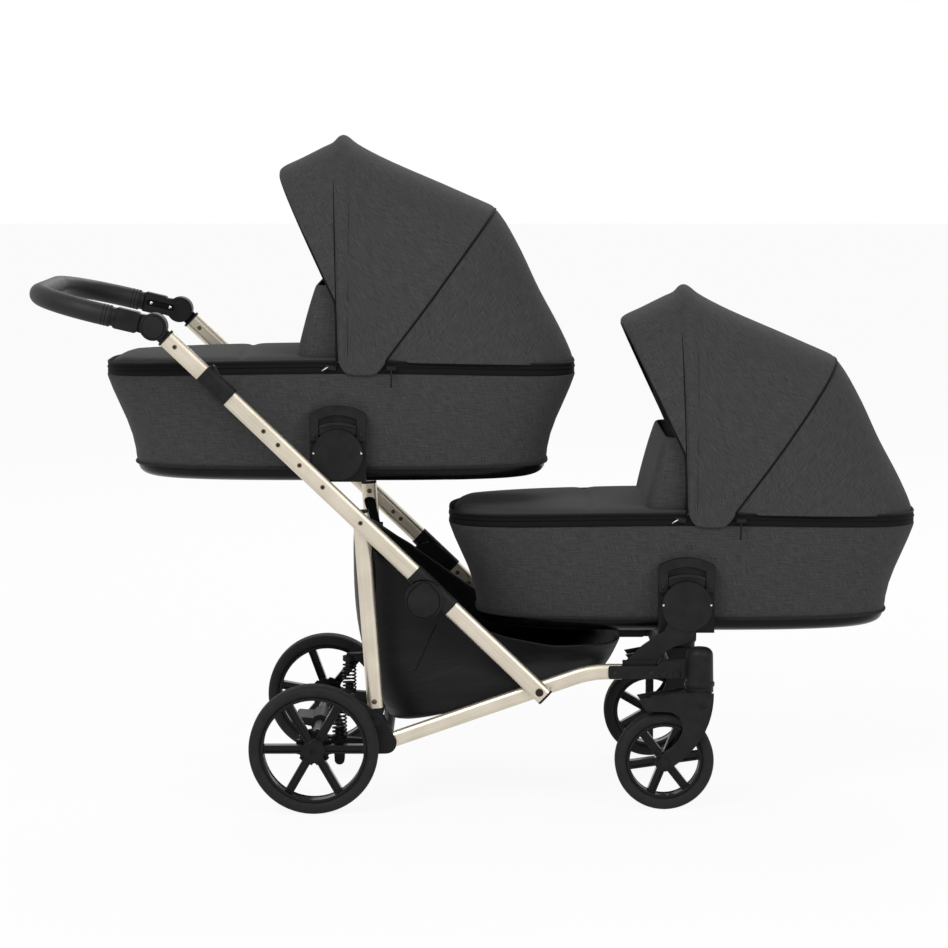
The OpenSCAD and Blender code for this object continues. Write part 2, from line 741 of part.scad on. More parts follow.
module handle_grip() color(leatherette) in_handle()
  handle_sweep(arm_len - 6, grip_d / 2, bar_d / 2);

module tilt_button(side) color(gloss_black) on_side(side) {
  pin_y(handle_pivot, button_r, tilt_out - 1.5, tilt_out + 2.3);
}

// Rear running gear

arm_boss_r = 17;

module swing_arms() color(black_plastic) pair() difference() {
  union() {
    along_y(rail_in + side_gap, rail_out - side_gap) {
      link(swing_pivot, swing_eye_r, spring_foot - [0, 14], 11);
      link(spring_foot - [0, 14], 11, rear_axle, arm_boss_r);
    }
    translate([spring_foot.x, rail_y, spring_foot.y - 8]) cylinder(r = seat_cap_r, h = 8);
    translate([spring_foot.x, rail_y, spring_foot.y - 8]) cylinder(r = spring_r - 4, h = 22);
    pin_y(rear_axle, arm_boss_r - 3, rail_in - 8, rear_wheel_y - rear_hub_half - side_gap);
    // lug below the arm that stops its drop
    along_y(rail_in + side_gap, rail_out - side_gap)
      link(spring_foot - [0, 20], 10, spring_foot - [0, 44], 9);
  }
  pin_y(swing_pivot, pin_d / 2 + pivot_gap, rail_in, rail_out);
  pin_y(rear_axle, axle_d / 2, rail_in - 9, rear_wheel_y);
}

rear_hub_half = 20;
axle_tube_d = 20;

// Through axle: a tube between the arms, stepped down to the stubs that carry the wheels
module axle_shaft() color(gloss_black) {
  stub = rear_wheel_y + rear_hub_half + 1;
  pin_y(rear_axle, axle_tube_d / 2, -(rail_in - 8), rail_in - 8);
  pair() {
    pin_y(rear_axle, axle_d / 2, rail_in - 9, stub);
    // ribbed boot beside each arm
    for (i = [0:3]) pin_y(rear_axle, axle_tube_d / 2 + 3, rail_in - 20 - 9 * i, rail_in - 15 - 9 * i);
  }
}

pedal_half = 46;

// Brake pedal: a sleeve on the axle with a foot plate behind it
module brake_pedal() color(black_plastic) difference() {
  union() {
    pin_y(rear_axle, axle_tube_d / 2 + 7, -pedal_half, pedal_half);
    along_y(-pedal_half + 6, pedal_half - 6) link(rear_axle, 9, rear_axle + [-40, 6], 6);
  }
  pin_y(rear_axle, axle_tube_d / 2 + pivot_gap, -pedal_half - 1, pedal_half + 1);
}

rim_lip = 5;
rim_wall = 3.5;
spoke_w = 15;
spoke_edge = 3.5;

// A wheel's rim about +Z: hub, rim and channelled spokes, open between them
module rim_body(wheel_d, tyre_w, hub_d, hub_half, bore_d, turn) {
  r = wheel_d / 2 - tyre_h;
  half = tyre_w / 2 - 4;
  difference() {
    union() {
      rotate_extrude($fn = 96) polygon([
        [r - rim_lip, -half], [r, -half], [r, half], [r - rim_lip, half],
        [r - rim_wall, half - 5], [r - rim_wall, 5 - half]
      ]);
      cylinder(d = hub_d, h = 2 * hub_half, center = true);
      for (i = [0:spokes - 1]) rotate([0, 0, i * 360 / spokes + turn]) difference() {
        translate([hub_d / 2 - 3, -spoke_w / 2, -9]) cube([r - hub_d / 2 + 0.5, spoke_w, 18]);
        for (s = [-1, 1]) translate([hub_d / 2 + 2, spoke_edge - spoke_w / 2, s > 0 ? 3 : -10])
          cube([r - hub_d / 2 - 10, spoke_w - 2 * spoke_edge, 7]);
      }
      // hub cap
      translate([0, 0, hub_half]) cylinder(d = hub_d - 8, h = 3);
    }
    cylinder(d = bore_d + 2 * pivot_gap, h = 4 * hub_half, center = true);
  }
}

// A tyre about +Z: a band with round shoulders and two shallow grooves
module tyre_body(wheel_d, tyre_w) rotate_extrude($fn = 96) difference() {
  translate([wheel_d / 2 - tyre_h / 2, 0]) round_rect([tyre_h, tyre_w], tyre_h / 2.4);
  for (s = [-1, 1]) translate([wheel_d / 2 - 2, s * tyre_w / 5 - 1.5]) square([4, 3]);
}

module at_wheel(side, axle, y) on_side(side) translate([axle.x, y, axle.y]) rotate([-90, 0, 0]) children();

brake_ring_r = 33;
brake_ring_t = 6;
rear_hub_d = 40;

// Rear rim, with the brake's toothed ring behind its hub; each wheel stands as it rolled to rest
module rear_rim(side) color(gloss_black) at_wheel(side, rear_axle, rear_wheel_y) {
  rim_body(rear_wheel_d, rear_tyre_w, rear_hub_d, rear_hub_half, axle_d, side > 0 ? 10 : 0);
  translate([0, 0, -rear_hub_half]) linear_extrude(brake_ring_t) difference() {
    circle(brake_ring_r);
    circle(rear_hub_d / 2 - 1);
    for (i = [0:11]) rotate(i * 30) translate([brake_ring_r, 0]) circle(3.5);
  }
}

module rear_tyre(side) color(rubber_black) at_wheel(side, rear_axle, rear_wheel_y)
  tyre_body(rear_wheel_d, rear_tyre_w);

// Casters

front_hub_half = 20;
front_hub_d = 36;
blade_t = 5;
blade_in = front_hub_half + 4;

// Side outline of a fork blade: a claw from the crown down to the axle
module blade_outline() {
  a = front_axle;
  crown_z = housing_low - crown_drop;
  right = swivel_x + housing_r - 3;
  polygon(concat(
    curve(
      [a.x - 48, crown_z - 14], [a.x - 20, crown_z - 9], [a.x + 10, crown_z - 1], [right - 20, crown_z], 6
    ),
    curve([right, crown_z - 2], [right, crown_z - 45], [right - 14, a.y + 32], [a.x + 14, a.y - 8], 10),
    curve([a.x - 8, a.y + 12], [a.x + 22, a.y + 34], [a.x + 42, a.y + 56], [a.x + 24, a.y + 82], 10),
    curve([a.x + 12, a.y + 90], [a.x - 4, a.y + 92], [a.x - 20, a.y + 91], [a.x - 34, a.y + 93], 6)
  ));
  translate(a) circle(12);
}

module caster_fork(side) color(black_plastic) on_side(side) {
  y = front_wheel_y;
  crown_z = housing_low - crown_drop;
  difference() {
    union() {
      for (s = [-1, 1]) let (m = y + s * (blade_in + blade_t / 2))
        along_y(m - blade_t / 2, m + blade_t / 2) blade_outline();
      along_y(y - blade_in - 1, y + blade_in + 1) translate([0, front_wheel_d + 7]) polygon([
        [front_axle_x - 30, 4], [swivel_x - 20, 0], [swivel_x + 20, -6],
        [swivel_x + 20, crown_z - front_wheel_d - 8], [swivel_x - 16, crown_z - front_wheel_d - 8],
        [front_axle_x - 24, crown_z - front_wheel_d - 20]
      ]);
      translate([swivel_x, y, crown_z - 3]) cylinder(r = housing_r - 2, h = crown_drop + 3 - side_gap);
    }
    pin_y(front_axle, pin_d / 2, y - 40, y + 40);
  }
  translate([swivel_x, y, crown_z]) cylinder(d = stem_d, h = crown_drop + stem_up);
  // axle with its two heads
  pin_y(front_axle, pin_d / 2, y - blade_in - blade_t, y + blade_in + blade_t);
  for (s = [-1, 1]) let (m = y + s * (blade_in + blade_t + 1.5)) pin_y(front_axle, 8, m - 1.5, m + 1.5);
}

module front_rim(side) color(gloss_black) at_wheel(side, front_axle, front_wheel_y)
  rim_body(front_wheel_d, front_tyre_w, front_hub_d, front_hub_half, pin_d, side > 0 ? 30 : 52);

module front_tyre(side) color(rubber_black) at_wheel(side, front_axle, front_wheel_y)
  tyre_body(front_wheel_d, front_tyre_w);

// Carrycots, drawn about the middle of the rim

module upper_place() translate([upper_cot_x, 0, upper_rim_z]) children();
module lower_place() translate([lower_cot_x, 0, lower_rim_z]) children();

// A rounded-oval ring: half length a, half width b, height z
oval_power = 0.62;
function ring(a, b, z, n = 40) = [
  for (i = [0:n - 1]) [
    a * side_power(cos(i * 360 / n), oval_power), b * side_power(sin(i * 360 / n), oval_power), z
  ]
];

// The tub's ring at a height below the rim, drawn in by inset
function tub_ring(z, inset) = ring(
  lerp(cot_len, base_len, -z / cot_h) / 2 - inset, lerp(cot_w, base_w, -z / cot_h) / 2 - inset, z
);
floor_t = 8;
shell_t = 4;

module cot_tub() color(heather) loft([
  tub_ring(-cot_h, 0), tub_ring(-cot_h * 0.5, -2), tub_ring(0, 0),
  tub_ring(0, cot_wall), tub_ring(-cot_h * 0.5, cot_wall - 2), tub_ring(floor_t - cot_h, cot_wall)
]);

module cot_base() color(black_plastic) loft([
  ring(base_len / 2 - 30, base_w / 2 - 22, -cot_h - base_h),
  ring(base_len / 2 - 8, base_w / 2 - 5, -cot_h - base_h + 8),
  ring(base_len / 2, base_w / 2, -cot_h), ring(base_len / 2 - shell_t, base_w / 2 - shell_t, -cot_h),
  ring(base_len / 2 - 8 - shell_t, base_w / 2 - 5 - shell_t, -cot_h - base_h + 8),
  ring(base_len / 2 - 30 - shell_t, base_w / 2 - 22 - shell_t, -cot_h - base_h + shell_t)
]);

module mattress() color(mattress_white) {
  low = floor_t - cot_h;
  loft([
    ring(base_len / 2 - cot_wall - 9, base_w / 2 - cot_wall - 7, low),
    ring(base_len / 2 - cot_wall - 3, base_w / 2 - cot_wall - 3, low + mattress_h * 0.4),
    ring(base_len / 2 - cot_wall - 3, base_w / 2 - cot_wall - 3, low + mattress_h * 0.7),
    ring(base_len / 2 - cot_wall - 22, base_w / 2 - cot_wall - 20, low + mattress_h)
  ]);
}

// Boot cover: a padded lid over the foot end, from the toe to just ahead of the hood
cover_to = 20;
cover_t = 9;
cover_rise = 22;

function cover_ring(k, z) = let (
  a = cot_len / 2, b = cot_w / 2, first = acos(pow(cover_to / a, 1 / oval_power)), n = 32
) [
  for (i = [0:n]) let (
    t = 180 - first + i * 2 * first / n,
    x = a * side_power(cos(t), oval_power), y = b * side_power(sin(t), oval_power), mid = -a / 2
  ) [lerp(mid, x, k), y * k, z]
];

// Wind flap: a low wall that stands on the cover and wraps round to the hood's sides
flap_h = 122;
flap_t = 6;
flap_to = 2;
function flap_path(x, z, half, inset) = let (h = half - inset, f = x + inset) [
  for (p = concat(
    [[flap_to, h]], curve([x + 36, h], [f + 8, h], [f, h - 30], [f, h - 80], 8),
    curve([f, 80 - h], [f, 30 - h], [f + 8, -h], [x + 36, -h], 8), [[flap_to, -h]]
  )) [p.x, p.y, z]
];

module boot_cover() color(heather) {
  loft([
    cover_ring(0.86, cover_rise - cover_t), cover_ring(0.95, soft_gap), cover_ring(1, soft_gap),
    cover_ring(1, cover_t), cover_ring(0.93, cover_rise * 0.75), cover_ring(0.8, cover_rise),
    cover_ring(0.5, cover_rise + 4)
  ]);
  rows = [[-73, cover_rise - 6, 176], [-60, cover_rise + flap_h / 2, 180], [-43, cover_rise + flap_h, 172]];
  sheet(
    [for (r = rows) flap_path(r[0], r[1], r[2], 0)],
    [for (r = rows) flap_path(r[0], r[1], r[2], flap_t)]
  );
}

// Side brackets: a backing plate, the socket that drops over the carrying disc's tongue, and the hood's posts
bracket_half = 50;
bracket_low = cot_h + base_h - 4;
bracket_top = 54;
socket_wall = 9;
screw_x = 42;
screw_drop = 105;
function side_at(z) = lerp(cot_w, base_w, z / cot_h) / 2 + 2.6;

// Arched outline inset from the bracket's edge, from its round top down to a level below the rim
arch_band = 16;
arch_round = 91;
module bracket_arch(inset, low) intersection() {
  translate([-bracket_half + inset, -low]) square([2 * (bracket_half - inset), low]);
  translate([0, -bracket_top - arch_round]) circle(arch_round - inset, $fn = 96);
}

module cot_brackets() color(black_plastic) pair() {
  intersection() {
    along_y(base_w / 2 - 20, bracket_out) {
      translate([-bracket_half, -bracket_low]) square([2 * bracket_half, bracket_low - bracket_top - 38]);
      bracket_arch(0, bracket_top + 40);
    }
    translate([-100, 0, 0]) rotate([90, 0, 90]) linear_extrude(200) polygon([
      [side_at(bracket_top - 2), -bracket_top + 2], [side_at(cot_h), -cot_h],
      [base_w / 2 + 0.6, -cot_h - 2], [base_w / 2 - 4 + 0.6, -bracket_low - 2],
      [bracket_plate_out, -bracket_low - 2], [bracket_plate_out, -bracket_top + 2]
    ]);
  }
  // socket
  along_y(bracket_plate_out, bracket_out) difference() {
    translate([-tongue_w / 2 - socket_wall, -seat_drop - tongue_down - 2])
      square([tongue_w + 2 * socket_wall, tongue_up + tongue_down + 2 + socket_wall]);
    low = -seat_drop - tongue_down - 3;
    high = -seat_drop + tongue_up + side_gap;
    half = tongue_w / 2 + side_gap;
    polygon([[-half, low], [half, low], [half - 3, high], [3 - half, high]]);
  }
  // raised arch with its two screws
  along_y(bracket_plate_out, bracket_out) difference() {
    bracket_arch(0, screw_drop + 11);
    bracket_arch(arch_band, screw_drop + 12);
  }
  for (s = [-1, 1]) pin_y([s * screw_x, -screw_drop], 5, bracket_out, bracket_out + 0.6);
  // hood post: a lug on the tub's inner wall with the pin that carries both bows
  along_y(post_in, post_in + 6) link([hood_pivot_x, hood_pivot_z], 8, [hood_pivot_x, -10], 8);
  along_y(post_in, cot_w / 2 - cot_wall - 2.4) translate([hood_pivot_x - 8, -14]) square([16, 10]);
  pin_y([hood_pivot_x, hood_pivot_z], 5, post_in, front_eye_out + 0.5);
}

// Release levers: a plate in each bracket's arch that lifts to free the carrycot
lever_travel = 10;
lever_top = bracket_top + arch_band + lever_travel + 3;
lever_foot = seat_drop - tongue_up - socket_wall - 1;

module cot_levers() color(gloss_black) pair() {
  half = bracket_half - arch_band - 1;
  along_y(bracket_plate_out + 0.2, bracket_out - 3) lever_outline(half, lever_foot);
  along_y(bracket_plate_out + 0.2, bracket_out - 0.5) difference() {
    lever_outline(half, lever_foot);
    translate([0, -6]) lever_outline(half + 1, lever_foot + 7);
  }
}

// The lever's outline: a round top above a straight foot
module lever_outline(half, foot) intersection() {
  translate([-half, -foot]) square([2 * half, foot]);
  translate([0, -lever_top - arch_round]) circle(arch_round, $fn = 96);
}

// Hood: two bows on one pivot axis, and the cloth stretched over them

hood_half = cot_w / 2 + 5;
post_in = cot_w / 2 - 23;
rear_eye_in = post_in + 6.5;
rear_eye_out = rear_eye_in + 8;
front_eye_in = rear_eye_out + 0.5;
front_eye_out = hood_half - hood_cloth - 1;
bow_r = 3.6;
bow_eye_r = 8.5;
arch_power = 0.77;
bow_power = 0.85;
pivot = [hood_pivot_x, hood_pivot_z];
front_top = [0, front_bow_h];
rear_top = [rear_bow_x, rear_bow_h];

// A bow's arch in the plane of its pivot axis and its top, from the left eye to the right one
function arch(base, top, half, n = 20, e = arch_power) = [
  for (i = [0:n]) let (
    a = i * 180 / n, h = pow(sin(a), e), y = half * side_power(cos(a), e),
    p = base + (top - base) * h
  ) [p.x, y, p.y]
];

// A bow: a round rod along an arch, with an eye at each end
module bow(top, eye_in, eye_out) {
  inset = hood_cloth + bow_r + 6;
  d = (top - pivot) / norm(top - pivot);
  path = arch(pivot + d * bow_eye_r, top - d * inset, (eye_in + eye_out) / 2, 24, bow_power);
  normal = [-d.y, 0, d.x];
  loft([
    for (i = [24:-1:0]) let (
      t = path[min(24, i + 1)] - path[max(0, i - 1)], u = cross(t / norm(t), normal)
    ) [for (j = [0:7]) path[i] + bow_r * (u * cos(j * 45) + normal * sin(j * 45))]
  ]);
  pair() difference() {
    union() {
      pin_y(pivot, bow_eye_r, eye_in, eye_out);
      along_y(eye_in + 0.4, eye_out - 0.4) link(pivot, bow_r + 1, pivot + d * 22, bow_r);
    }
    pin_y(pivot, 5 + pivot_gap, eye_in - 1, eye_out + 1);
  }
}

module rear_bow() color(black_plastic) bow(rear_top, rear_eye_in, rear_eye_out);
module front_bow() color(black_plastic) bow(front_top, front_eye_in, front_eye_out);

// Cloth stations, as [base, top] in the side view
seam_gap = 0.5;
front_base = [hood_pivot_x - 49, soft_gap];
seam_base = [hood_pivot_x + 10, soft_gap];
rim_base = [hood_pivot_x + 60, soft_gap];
rim_top = [cot_len / 2 - 2, soft_gap];
function station(a, b, t, bulge) = let (
  d = (b[1] - a[1]) / norm(b[1] - a[1]), out = [-d.y, d.x]
) [a[0] + (b[0] - a[0]) * t, a[1] + (b[1] - a[1]) * t + out * bulge * sin(t * 180)];
function cloth(s, thin) = arch(s[0], s[1] - (s[1] - s[0]) / norm(s[1] - s[0]) * thin, hood_half - thin);

// The visor's edge: the front arch pushed forward, most at its top
function visor(row, k) = [
  for (p = row) let (f = max(0.05, (p.z / front_bow_h - 0.4) / 0.6))
    p + [-visor_reach, 0, -visor_reach * 0.52] * k * f
];

module hood_front() color(heather) {
  a = [front_base, front_top];
  b = [seam_base, rear_top];
  rows = [for (t = [0, 0.33, 0.67, 0.995]) station(a, b, t, 5)];
  edge = [for (k = [1, 0.5]) k];
  sheet(
    concat([for (k = edge) visor(cloth(a, 0), k)], [for (s = rows) cloth(s, 0)]),
    concat([for (k = edge) visor(cloth(a, hood_cloth), k)], [for (s = rows) cloth(s, hood_cloth)])
  );
}

module hood_rear() color(heather) {
  a = [seam_base + [1, 0], rear_top + [1, -1.5]];
  b = [rim_base, rim_top];
  rows = [for (t = [1, 0.75, 0.5, 0.25, 0]) station(a, b, t, 14)];
  sheet([for (s = rows) cloth(s, 0)], [for (s = rows) cloth(s, hood_cloth)]);
}

lower_rails();
rear_brackets();
crossbars();
front_clamps();
caster_housings();
cot_risers();
frame_pins();
basket();
suspension_springs();
leg_tubes();
leg_fittings();
brace_tubes();
brace_hubs();
brace_caps();
main_tubes();
main_hubs();
handle_tubes();
handle_sockets();
cot_adapters();
tube_rivets();
fold_slider(1);  // fold_slider_left
fold_slider(-1);  // fold_slider_right
handle_bar();
handle_grip();
tilt_button(1);  // tilt_button_left
tilt_button(-1);  // tilt_button_right
swing_arms();
axle_shaft();
brake_pedal();
rear_rim(1);  // rear_rim_left
rear_rim(-1);  // rear_rim_right
rear_tyre(1);  // rear_tyre_left
rear_tyre(-1);  // rear_tyre_right
caster_fork(1);  // caster_fork_left
caster_fork(-1);  // caster_fork_right
front_rim(1);  // front_rim_left
front_rim(-1);  // front_rim_right
front_tyre(1);  // front_tyre_left
front_tyre(-1);  // front_tyre_right
upper_place() cot_tub();  // upper_cot_tub
upper_place() cot_base();  // upper_cot_base
upper_place() mattress();  // upper_mattress
upper_place() boot_cover();  // upper_boot_cover
upper_place() cot_brackets();  // upper_cot_brackets
upper_place() cot_levers();  // upper_levers
upper_place() rear_bow();  // upper_rear_bow
upper_place() front_bow();  // upper_front_bow
upper_place() hood_front();  // upper_hood_front
upper_place() hood_rear();  // upper_hood_rear
lower_place() cot_tub();  // lower_cot_tub
lower_place() cot_base();  // lower_cot_base
lower_place() mattress();  // lower_mattress
lower_place() boot_cover();  // lower_boot_cover
lower_place() cot_brackets();  // lower_cot_brackets
lower_place() cot_levers();  // lower_levers
lower_place() rear_bow();  // lower_rear_bow
lower_place() front_bow();  // lower_front_bow
lower_place() hood_front();  // lower_hood_front
lower_place() hood_rear();  // lower_hood_rear
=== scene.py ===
"""Looks of a tandem pram: a folding tube frame that carries a high rear and a low front carrycot."""

import math

import bmesh
import bpy
import numpy as np
from mathutils import Matrix, Vector


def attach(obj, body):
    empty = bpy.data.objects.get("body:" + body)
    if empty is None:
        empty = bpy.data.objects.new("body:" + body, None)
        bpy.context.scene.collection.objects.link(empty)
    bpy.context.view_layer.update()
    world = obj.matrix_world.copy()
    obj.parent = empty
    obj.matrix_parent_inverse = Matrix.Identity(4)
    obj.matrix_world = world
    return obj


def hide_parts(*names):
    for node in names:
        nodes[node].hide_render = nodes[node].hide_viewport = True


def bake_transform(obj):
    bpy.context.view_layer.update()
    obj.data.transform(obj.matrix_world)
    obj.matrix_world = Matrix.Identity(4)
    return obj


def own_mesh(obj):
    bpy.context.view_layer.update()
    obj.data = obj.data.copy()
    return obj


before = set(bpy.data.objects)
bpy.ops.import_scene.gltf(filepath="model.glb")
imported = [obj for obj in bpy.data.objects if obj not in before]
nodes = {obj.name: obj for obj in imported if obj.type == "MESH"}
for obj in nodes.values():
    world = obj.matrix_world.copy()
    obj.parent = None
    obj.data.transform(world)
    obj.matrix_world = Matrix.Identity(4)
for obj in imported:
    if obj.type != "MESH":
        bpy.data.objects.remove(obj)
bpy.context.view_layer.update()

# Where the middle of each carrycot's rim stands
COTS = {"upper": Vector((-0.242, 0.0, 0.772)), "lower": Vector((0.380, 0.0, 0.500))}
# The handle's pivot along and up the pram, the lean of its arms in degrees, and the main tube's way from it
HANDLE_X, HANDLE_Z, HANDLE_LEAN = -0.561, 0.862, 13.3
TUBE_AHEAD, TUBE_DOWN = 0.72191, 0.69198
SIDES = ((1, "left"), (-1, "right"))


# Finishes


class Shade:
    """A socket of a finish; sums on it add the nodes that work them out."""

    def __init__(self, finish, socket):
        self.finish, self.socket = finish, socket

    def sum(self, operation, first, second):
        return self.finish.node("Math", {"operation": operation}, i0=first, i1=second)

    def __add__(self, other):
        return self.sum("ADD", self, other)

    def __mul__(self, other):
        return self.sum("MULTIPLY", self, other)

    __radd__ = __add__
    __rmul__ = __mul__


class Finish:
    """A material on its shader, with one way to add a node."""

    def __init__(self, name, **fixed):
        self.material = bpy.data.materials.new(name)
        self.material.use_nodes = True
        self.tree = self.material.node_tree
        self.shader = self.tree.nodes["Principled BSDF"]
        self.set(**fixed)

    def feed(self, socket, value):
        if isinstance(value, Shade):
            self.tree.links.new(value.socket, socket)
        else:
            socket.default_value = value

    def set(self, **sockets):
        for key, value in sockets.items():
            self.feed(self.shader.inputs[key.replace("_", " ")], value)
        return self

    def node(self, kind, settings=None, out=0, **sockets):
        made = self.tree.nodes.new("ShaderNode" + kind)
        for key, value in (settings or {}).items():
            if key == "stops":
                while len(made.color_ramp.elements) < len(value):
                    made.color_ramp.elements.new(0.5)
                for element, (place, shade) in zip(made.color_ramp.elements, value):
                    element.position, element.color = place, (shade, shade, shade, 1)
            else:
                setattr(made, key, value)
        for key, value in sockets.items():
            self.feed(made.inputs[int(key[1:]) if key[1:].isdigit() else key.replace("_", " ")], value)
        return Shade(self, made.outputs[out])

    def place(self, on_cloth=False):
        """The surface's own place: metres on the cloth, or metres in the piece's frame."""
        return self.node("TexCoord", out=2 if on_cloth else 3)

    def stretched(self, place, lengths, turn=(0, 0, 0)):
        """A place turned into the grain's direction and measured in the grain's lengths."""
        return self.node(
            "Mapping", {"vector_type": "TEXTURE"}, Vector=place, Rotation=turn, Scale=lengths
        )

    def noise(self, place, scale=1.0, detail=2.0, rough=0.5):
        return self.node("TexNoise", Vector=place, Scale=scale, Detail=detail, Roughness=rough)

    def ramp(self, value, *stops):
        return self.node("ValToRGB", {"stops": stops}, Fac=value)

    def mix(self, share, first, second):
        return self.node("Mix", {"data_type": "RGBA"}, out=2, Factor=share, i6=first, i7=second)

    def bump(self, height, distance, strength=1.0, edge=0.0):
        """Relief on the surface; an edge's radius makes sharp corners catch the light as moulded ones do."""
        under = {"Normal": self.node("Bevel", {"samples": 4}, Radius=edge)} if edge else {}
        return self.set(Normal=self.node("Bump", Height=height, Distance=distance, Strength=strength, **under))


def colour(red, green, blue):
    """A colour picked on a screen, from 0 to 255, as light."""
    light = [
        c / 12.92 if c <= 0.04045 else ((c + 0.055) / 1.055) ** 2.4
        for c in (red / 255, green / 255, blue / 255)
    ]
    return (*light, 1.0)


def champagne_tube(name, lean):
    """Satin anodised tube, with its fine drawn grain along a tube that leans by that many degrees."""
    tube = Finish(name, Metallic=0.92, Specular_IOR_Level=0.5)
    along = tube.stretched(tube.place(), (0.12, 0.0011, 0.0011), (0, math.radians(lean), 0))
    grain = tube.noise(along, detail=3.0)
    cloud = tube.noise(tube.place(), 22.0)
    tone = tube.ramp(grain * 0.6 + cloud * 0.4, (0.34, 0.0), (0.66, 1.0))
    tube.set(Base_Color=tube.mix(tone, colour(199, 190, 172), colour(221, 212, 196)))
    tube.set(Roughness=0.3 + grain * 0.16)
    return tube.bump(grain, 0.00004, 0.5)


def moulded_plastic(name, dark, light, rough, grain_size=0.0007, grain_depth=0.00006, gloss=0.22):
    """Black moulded plastic with a fine spark-eroded grain."""
    plastic = Finish(name, Specular_IOR_Level=gloss)
    grain = plastic.noise(plastic.place(), 1 / grain_size, detail=3.0)
    cloud = plastic.noise(plastic.place(), 38.0, detail=3.0)
    plastic.set(Base_Color=plastic.mix(plastic.ramp(cloud, (0.3, 0.0), (0.7, 1.0)), dark, light))
    plastic.set(Roughness=rough - 0.06 + cloud * 0.12)
    return plastic.bump(grain, grain_depth, 0.6, edge=0.0016)


def tyre_rubber(name):
    rubber = Finish(name, Specular_IOR_Level=0.2)
    grain = rubber.noise(rubber.place(), 1400.0)
    dust = rubber.noise(rubber.place(), 60.0, detail=6.0, rough=0.65)
    tone = rubber.ramp(dust, (0.35, 0.0), (0.75, 1.0))
    rubber.set(Base_Color=rubber.mix(tone, colour(24, 24, 25), colour(38, 37, 36)))
    rubber.set(Roughness=0.6 + dust * 0.25)
    return rubber.bump(grain, 0.00008, 0.6)


def bright_steel(name, dark, light, rough=0.3):
    steel = Finish(name, Metallic=1.0)
    scratch = steel.noise(steel.stretched(steel.place(), (0.0006, 0.01, 0.0006)), detail=3.0)
    steel.set(Base_Color=steel.mix(scratch, dark, light))
    return steel.set(Roughness=rough + scratch * 0.2)


def leatherette(name):
    """Coated grip cover with a pebbled grain."""
    cover = Finish(name, Specular_IOR_Level=0.22)
    pebbles = cover.node("TexVoronoi", {"feature": "SMOOTH_F1"}, Vector=cover.place(), Scale=620.0)
    pores = cover.noise(cover.place(), 1500.0)
    wear = cover.noise(cover.place(), 26.0, detail=4.0)
    shade = cover.ramp(pebbles * 0.7 + wear * 0.5, (0.3, 0.0), (0.85, 1.0))
    cover.set(Base_Color=cover.mix(shade, colour(36, 36, 37), colour(24, 24, 25)))
    cover.set(Roughness=0.42 + wear * 0.2)
    return cover.bump(pebbles + pores * 0.25, 0.00025, 0.55)


def heather_cloth(name, shade=1.0, on_cloth=True):
    """Melange weave: slubbed warp and weft threads of several greys."""
    cloth = Finish(name, Sheen_Weight=0.05, Sheen_Roughness=0.45, Specular_IOR_Level=0.1)
    place = cloth.place(on_cloth)
    warp = cloth.noise(cloth.stretched(place, (0.0016, 0.022, 0.0016)), detail=3.0, rough=0.6)
    weft = cloth.noise(cloth.stretched(place, (0.026, 0.0017, 0.0017)), detail=3.0, rough=0.6)
    speck = cloth.noise(place, 800.0, detail=2.0)
    worn = cloth.noise(place, 9.0, detail=3.0)
    threads = warp * 0.44 + weft * 0.42 + speck * 0.14
    tone = cloth.ramp(threads, (0.34, 0.0), (0.68, 1.0))
    grey = [colour(*(3 * [level * shade])) for level in (42, 76, 54)]
    body = cloth.mix(tone, grey[0], grey[1])
    cloth.set(Base_Color=cloth.mix(worn * 0.25, body, grey[2]))
    cloth.set(Roughness=0.86 + speck * 0.1)
    pitch = (0.0072, 0.0072, 0.0072)
    thread, cross = (
        cloth.node("TexWave", {"bands_direction": way}, Vector=cloth.stretched(place, pitch), Scale=1.0)
        for way in ("X", "Y")
    )
    return cloth.bump(thread * 0.5 + cross * 0.5 + threads * 1.6, 0.0005, 0.5)


def black_webbing(name, pitch=0.0016):
    """Zip tape, binding and straps: ribbed black weave."""
    tape = Finish(name, Specular_IOR_Level=0.12)
    place = tape.place()
    rib = tape.node("TexWave", {"bands_direction": "DIAGONAL"}, Vector=place, Scale=0.31 / pitch)
    fluff = tape.noise(place, 700.0)
    tape.set(Base_Color=tape.mix(rib * 0.5 + fluff * 0.5, colour(8, 8, 8), colour(19, 19, 20)))
    tape.set(Roughness=0.7 + fluff * 0.2)
    return tape.bump(rib, 0.0002, 0.5)


def basket_cloth(name):
    """Coated black polyester with a ripstop check and soft creases."""
    cloth = Finish(name, Specular_IOR_Level=0.18)
    place = cloth.place(True)
    checks = [
        cloth.ramp(
            cloth.node("TexWave", {"bands_direction": way}, Vector=place, Scale=26.0), (0.9, 0.0), (1.0, 1.0)
        )
        for way in ("X", "Y")
    ]
    weave = cloth.noise(cloth.stretched(place, (0.0009, 0.004, 0.0009)), detail=2.0)
    crease = cloth.noise(cloth.stretched(place, (0.16, 0.05, 0.1)), detail=4.0, rough=0.55)
    cloth.set(Base_Color=cloth.mix(weave * 0.6 + crease * 0.4, colour(5, 5, 6), colour(15, 15, 16)))
    cloth.set(Roughness=0.42 + weave * 0.2)
    return cloth.bump(crease * 6.0 + weave * 0.12 + checks[0] * 0.05 + checks[1] * 0.05, 0.0016, 0.5)


def cotton_cover(name):
    cotton = Finish(name, Sheen_Weight=0.1)
    place = cotton.place()
    knit = cotton.node("TexVoronoi", Vector=place, Scale=260.0)
    cotton.set(Base_Color=cotton.mix(knit, colour(206, 204, 198), colour(228, 226, 220)))
    cotton.set(Roughness=0.85 + knit * 0.1)
    return cotton.bump(knit, 0.0006, 0.5)


